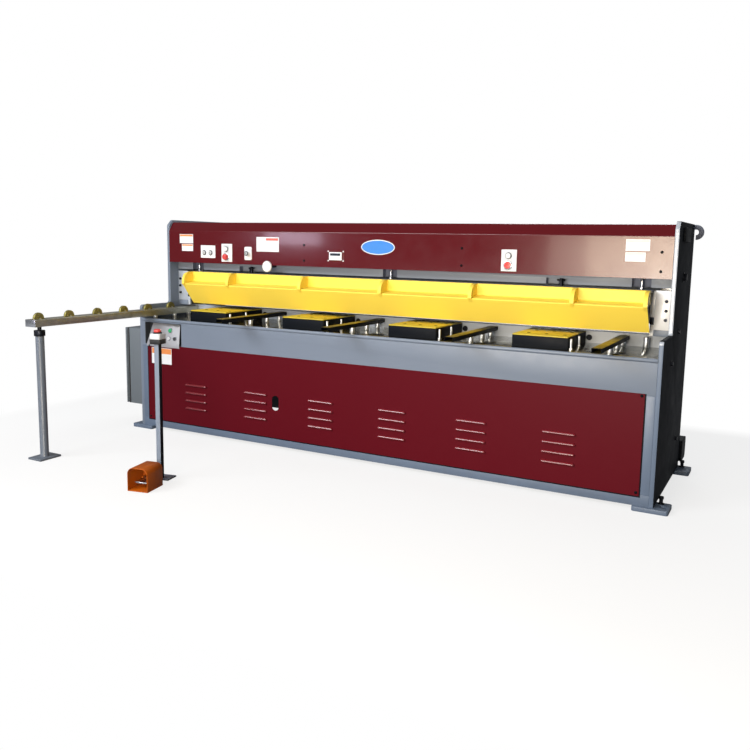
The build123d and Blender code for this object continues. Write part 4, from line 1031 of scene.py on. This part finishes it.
def make_cross_handles():
    """The short cross bars through the hold-down rods, in the crown beam's wide notches."""
    shape = bmesh.new()
    for x in HOLD_RODS:
        turned(shape, [(0.004, 0.0), (0.005, 0.001), (0.005, 0.045), (0.004, 0.046), (0.0, 0.046)],
               facing(x - 0.026, FRONT + 0.385, 1.145, (1, 0, 0)), 0, 20)
        block(shape, (x - 0.013, FRONT + 0.3735, 1.118), (x - 0.004, FRONT + 0.380, 1.146), 0.001)
    add_piece("hold_down_cross_bars", shape, [DARK_STEEL], "hold_down")


def make_panel_joint():
    """The dark joint around the lower panel."""
    shape = bmesh.new()
    inner, outer, bottom, low_edge, top = 1.677, 1.684, 0.069, 0.076, 0.608
    for low, high in (((-outer, bottom), (-inner, top)), ((inner, bottom), (outer, top)),
                      ((-inner, bottom), (inner, low_edge))):
        strip(shape, low, high, FRONT, 0.0007)
    add_piece("panel_joint", shape, [BLACK])


def make_cabinet_lip():
    """The rubber lip along the cabinet's open edge."""
    shape = bmesh.new()
    inner, outer = -1.9190, -1.9320
    for low, high in (((0.0612, 0.150), (0.0622, 0.700)), ((0.062, 0.6998), (0.542, 0.7008))):
        block(shape, (outer, FRONT + low[0], low[1]), (inner, FRONT + high[0], high[1]), 0.0003, 1)
    add_piece("cabinet_lip", shape, [RUBBER])


def make_stop_ring():
    """The black ring under the stop button."""
    low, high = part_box("stop_button")
    shape = bmesh.new()
    turned(shape, [(0.0245, 0.0), (0.0245, 0.005), (0.0225, 0.0065), (0.017, 0.0070)],
           facing((low[0] + high[0]) / 2, (low[1] + high[1]) / 2, low[2], UPWARD))
    add_piece("stop_ring", shape, [BLACK_PLASTIC])


def make_end_fittings():
    """The grey bracket, the black stop and the white liner at each white end plate."""
    for name, inner, outer, depths, heights, rounding, material, slot in (
        ("end_plate_brackets", 1.6405, 1.7275, (0.372, 0.398), (0.862, 0.8955), 0.001, GREY, "grey_paint"),
        ("end_plate_stops", 1.6175, 1.6385, (0.3702, 0.3858), (0.923, 0.9608), 0.001, DARK_STEEL,
         "black_paint"),
        ("end_plate_liners", 1.613, 1.6395, (0.371, 0.3745), (0.964, 1.105), 0.0008, PLATE_WHITE,
         "white_paint"),
    ):
        shape = bmesh.new()
        for low, high in ((-outer, -inner), (inner, outer)):
            block(shape, (low, FRONT + depths[0], heights[0]),
                  (high, FRONT + depths[1], heights[1]), rounding)
        add_piece(name, shape, [material])


make_cross_handles()
make_panel_joint()
make_cabinet_lip()
make_stop_ring()
make_end_fittings()


# Studio

# How much of the white backdrop's strength shows in mirrors and glass
MIRRORED_SHARE = 0.2


def seen_rays(tree):
    """One where the camera sees the backdrop, a share in mirrors and glass, and zero where it lights."""
    path = tree.nodes.new("ShaderNodeLightPath").outputs
    mirrored = calculate(tree, "MAXIMUM", path["Is Glossy Ray"], path["Is Transmission Ray"])
    return calculate(tree, "MAXIMUM", path["Is Camera Ray"], times(tree, mirrored, MIRRORED_SHARE))


def make_floor():
    """A pale seamless floor that turns into the white backdrop away from the machine."""
    data = bpy.data.meshes.new("studio_floor")
    reach, drop = 40.0, -0.0005
    corners = [(x * reach, y * reach, drop) for x, y in ((-1, -1), (1, -1), (1, 1), (-1, 1))]
    data.from_pydata(corners, [], [(0, 1, 2, 3)])
    made = in_scene("studio_floor", data)
    paper = bpy.data.materials.new("studio_paper")
    paper.use_nodes = True
    tree = paper.node_tree
    tree.nodes.clear()
    out = tree.nodes.new("ShaderNodeOutputMaterial")
    seen = seen_rays(tree)
    near = tree.nodes.new("ShaderNodeBsdfDiffuse")
    lit, pale = (0.12, 0.12, 0.13, 1), (0.97, 0.97, 0.97, 1)
    wire(tree, blend(tree, seen, lit, pale), near.inputs["Color"])
    far = tree.nodes.new("ShaderNodeEmission")
    place = tree.nodes.new("ShaderNodeSeparateXYZ")
    wire(tree, tree.nodes.new("ShaderNodeTexCoord").outputs["Object"], place.inputs[0])
    wide = spread(tree, calculate(tree, "ABSOLUTE", place.outputs["X"]), 2.2, 3.0, 0.0, 1.0)
    depth = calculate(tree, "ADD", place.outputs["Y"], 0.4)
    deep = spread(tree, calculate(tree, "ABSOLUTE", depth), 1.2, 2.2, 0.0, 1.0)
    away = calculate(tree, "MAXIMUM", calculate(tree, "MAXIMUM", wide, deep), 0.75)
    share = times(tree, away, seen)
    mix = tree.nodes.new("ShaderNodeMixShader")
    wire(tree, share, mix.inputs[0])
    wire(tree, near.outputs[0], mix.inputs[1])
    wire(tree, far.outputs[0], mix.inputs[2])
    wire(tree, mix.outputs[0], out.inputs["Surface"])
    data.materials.append(paper)


def make_world():
    """White behind the part, and a low even fill on it."""
    world = bpy.data.worlds.new("studio")
    bpy.context.scene.world = world
    world.use_nodes = True
    tree = world.node_tree
    tree.nodes.clear()
    out = tree.nodes.new("ShaderNodeOutputWorld")
    mix = tree.nodes.new("ShaderNodeMixShader")
    wire(tree, seen_rays(tree), mix.inputs["Fac"])
    for socket, colour, strength in ((1, (0.86, 0.92, 1.0, 1), 0.06), (2, (1, 1, 1, 1), 1.0)):
        background = tree.nodes.new("ShaderNodeBackground")
        background.inputs["Color"].default_value = colour
        background.inputs["Strength"].default_value = strength
        wire(tree, background.outputs[0], mix.inputs[socket])
    wire(tree, mix.outputs[0], out.inputs["Surface"])


def area_light(name, place, target, size, power, colour=(1, 1, 1)):
    """A flat lamp at a place, turned to a target."""
    light = bpy.data.lights.new(name, "AREA")
    light.shape = "RECTANGLE"
    light.size, light.size_y = size
    light.energy = power
    light.color = colour
    made = in_scene(name, light)
    made.location = place
    made.rotation_mode = "QUATERNION"
    made.rotation_quaternion = (Vector(target) - Vector(place)).to_track_quat("-Z", "Y")


def make_camera():
    """The photograph's viewpoint: its turn and place, and its lens in pixels of the square picture."""
    picture, focal, centre = 750, 784.1, (378.7, 352.2)
    yaw, pitch, roll = (math.radians(v) for v in (-28.118, -7.914, 1.014))
    ahead = Vector((math.sin(yaw) * math.cos(pitch), math.cos(yaw) * math.cos(pitch), math.sin(pitch)))
    level = Vector((math.cos(yaw), -math.sin(yaw), 0))
    above = level.cross(ahead)
    right = math.cos(roll) * level + math.sin(roll) * above
    up = -math.sin(roll) * level + math.cos(roll) * above
    turn = Matrix((right, up, -ahead)).transposed()
    data = bpy.data.cameras.new("viewpoint")
    data.sensor_width = 36
    data.lens = focal / picture * data.sensor_width
    data.shift_x = (picture / 2 - centre[0]) / picture
    data.shift_y = (centre[1] - picture / 2) / picture
    data.clip_end = 200
    made = in_scene("viewpoint", data)
    made.matrix_world = Matrix.Translation((2.319, -4.5005, 1.334)) @ turn.to_4x4()
    bpy.context.scene.camera = made


make_floor()
make_world()
area_light("front_bank", (-3.4, -6.0, 4.4), (0, 0, 0.7), (4.0, 2.2), 362, (0.96, 0.98, 1.0))
area_light("middle_bank", (0.4, -8.5, 5.4), (0, 0, 0.8), (5.0, 2.2), 236, (1.0, 0.98, 0.95))
area_light("low_bank", (-0.6, -7.6, 0.30), (0, 0, 0.9), (7.0, 0.5), 55, (0.97, 0.98, 1.0))
area_light("rear_bank", (0, 5.4, 5.4), (0, 0.5, 0.6), (3.2, 1.6), 170, (0.97, 0.98, 1.0))
area_light("overhead_bank", (0, 2.4, 5.5), (0, 0, 0.5), (6.0, 4.0), 42)
area_light("soft_reflector", (0.60, -4.8, 1.3), (1.2, 0, 1.25), (3.0, 1.0), 4, (1.0, 0.84, 0.8))
area_light("wide_reflector", (0.90, -4.8, 1.3), (1.2, 0, 1.25), (2.3, 1.0), 42, (1.0, 0.87, 0.72))
area_light("plate_reflector", (1.0, -4.8, 0.66), (1.65, 0, 1.0), (0.8, 0.5), 22, (0.97, 0.98, 1.0))
area_light("warm_reflector", (1.15, -4.7, 1.3), (1.5, 0, 1.25), (1.9, 1.0), 56, (1.0, 0.86, 0.62))
area_light("end_reflector", (1.45, -4.6, 1.3), (1.6, 0, 1.25), (1.1, 1.0), 22, (1.0, 0.88, 0.7))
area_light("left_reflector", (-4.1, -5.2, 1.62), (-0.6, 0, 1.3), (0.8, 0.35), 12, (0.92, 0.80, 1.0))
make_camera()
bpy.context.scene.view_settings.view_transform = "Standard"
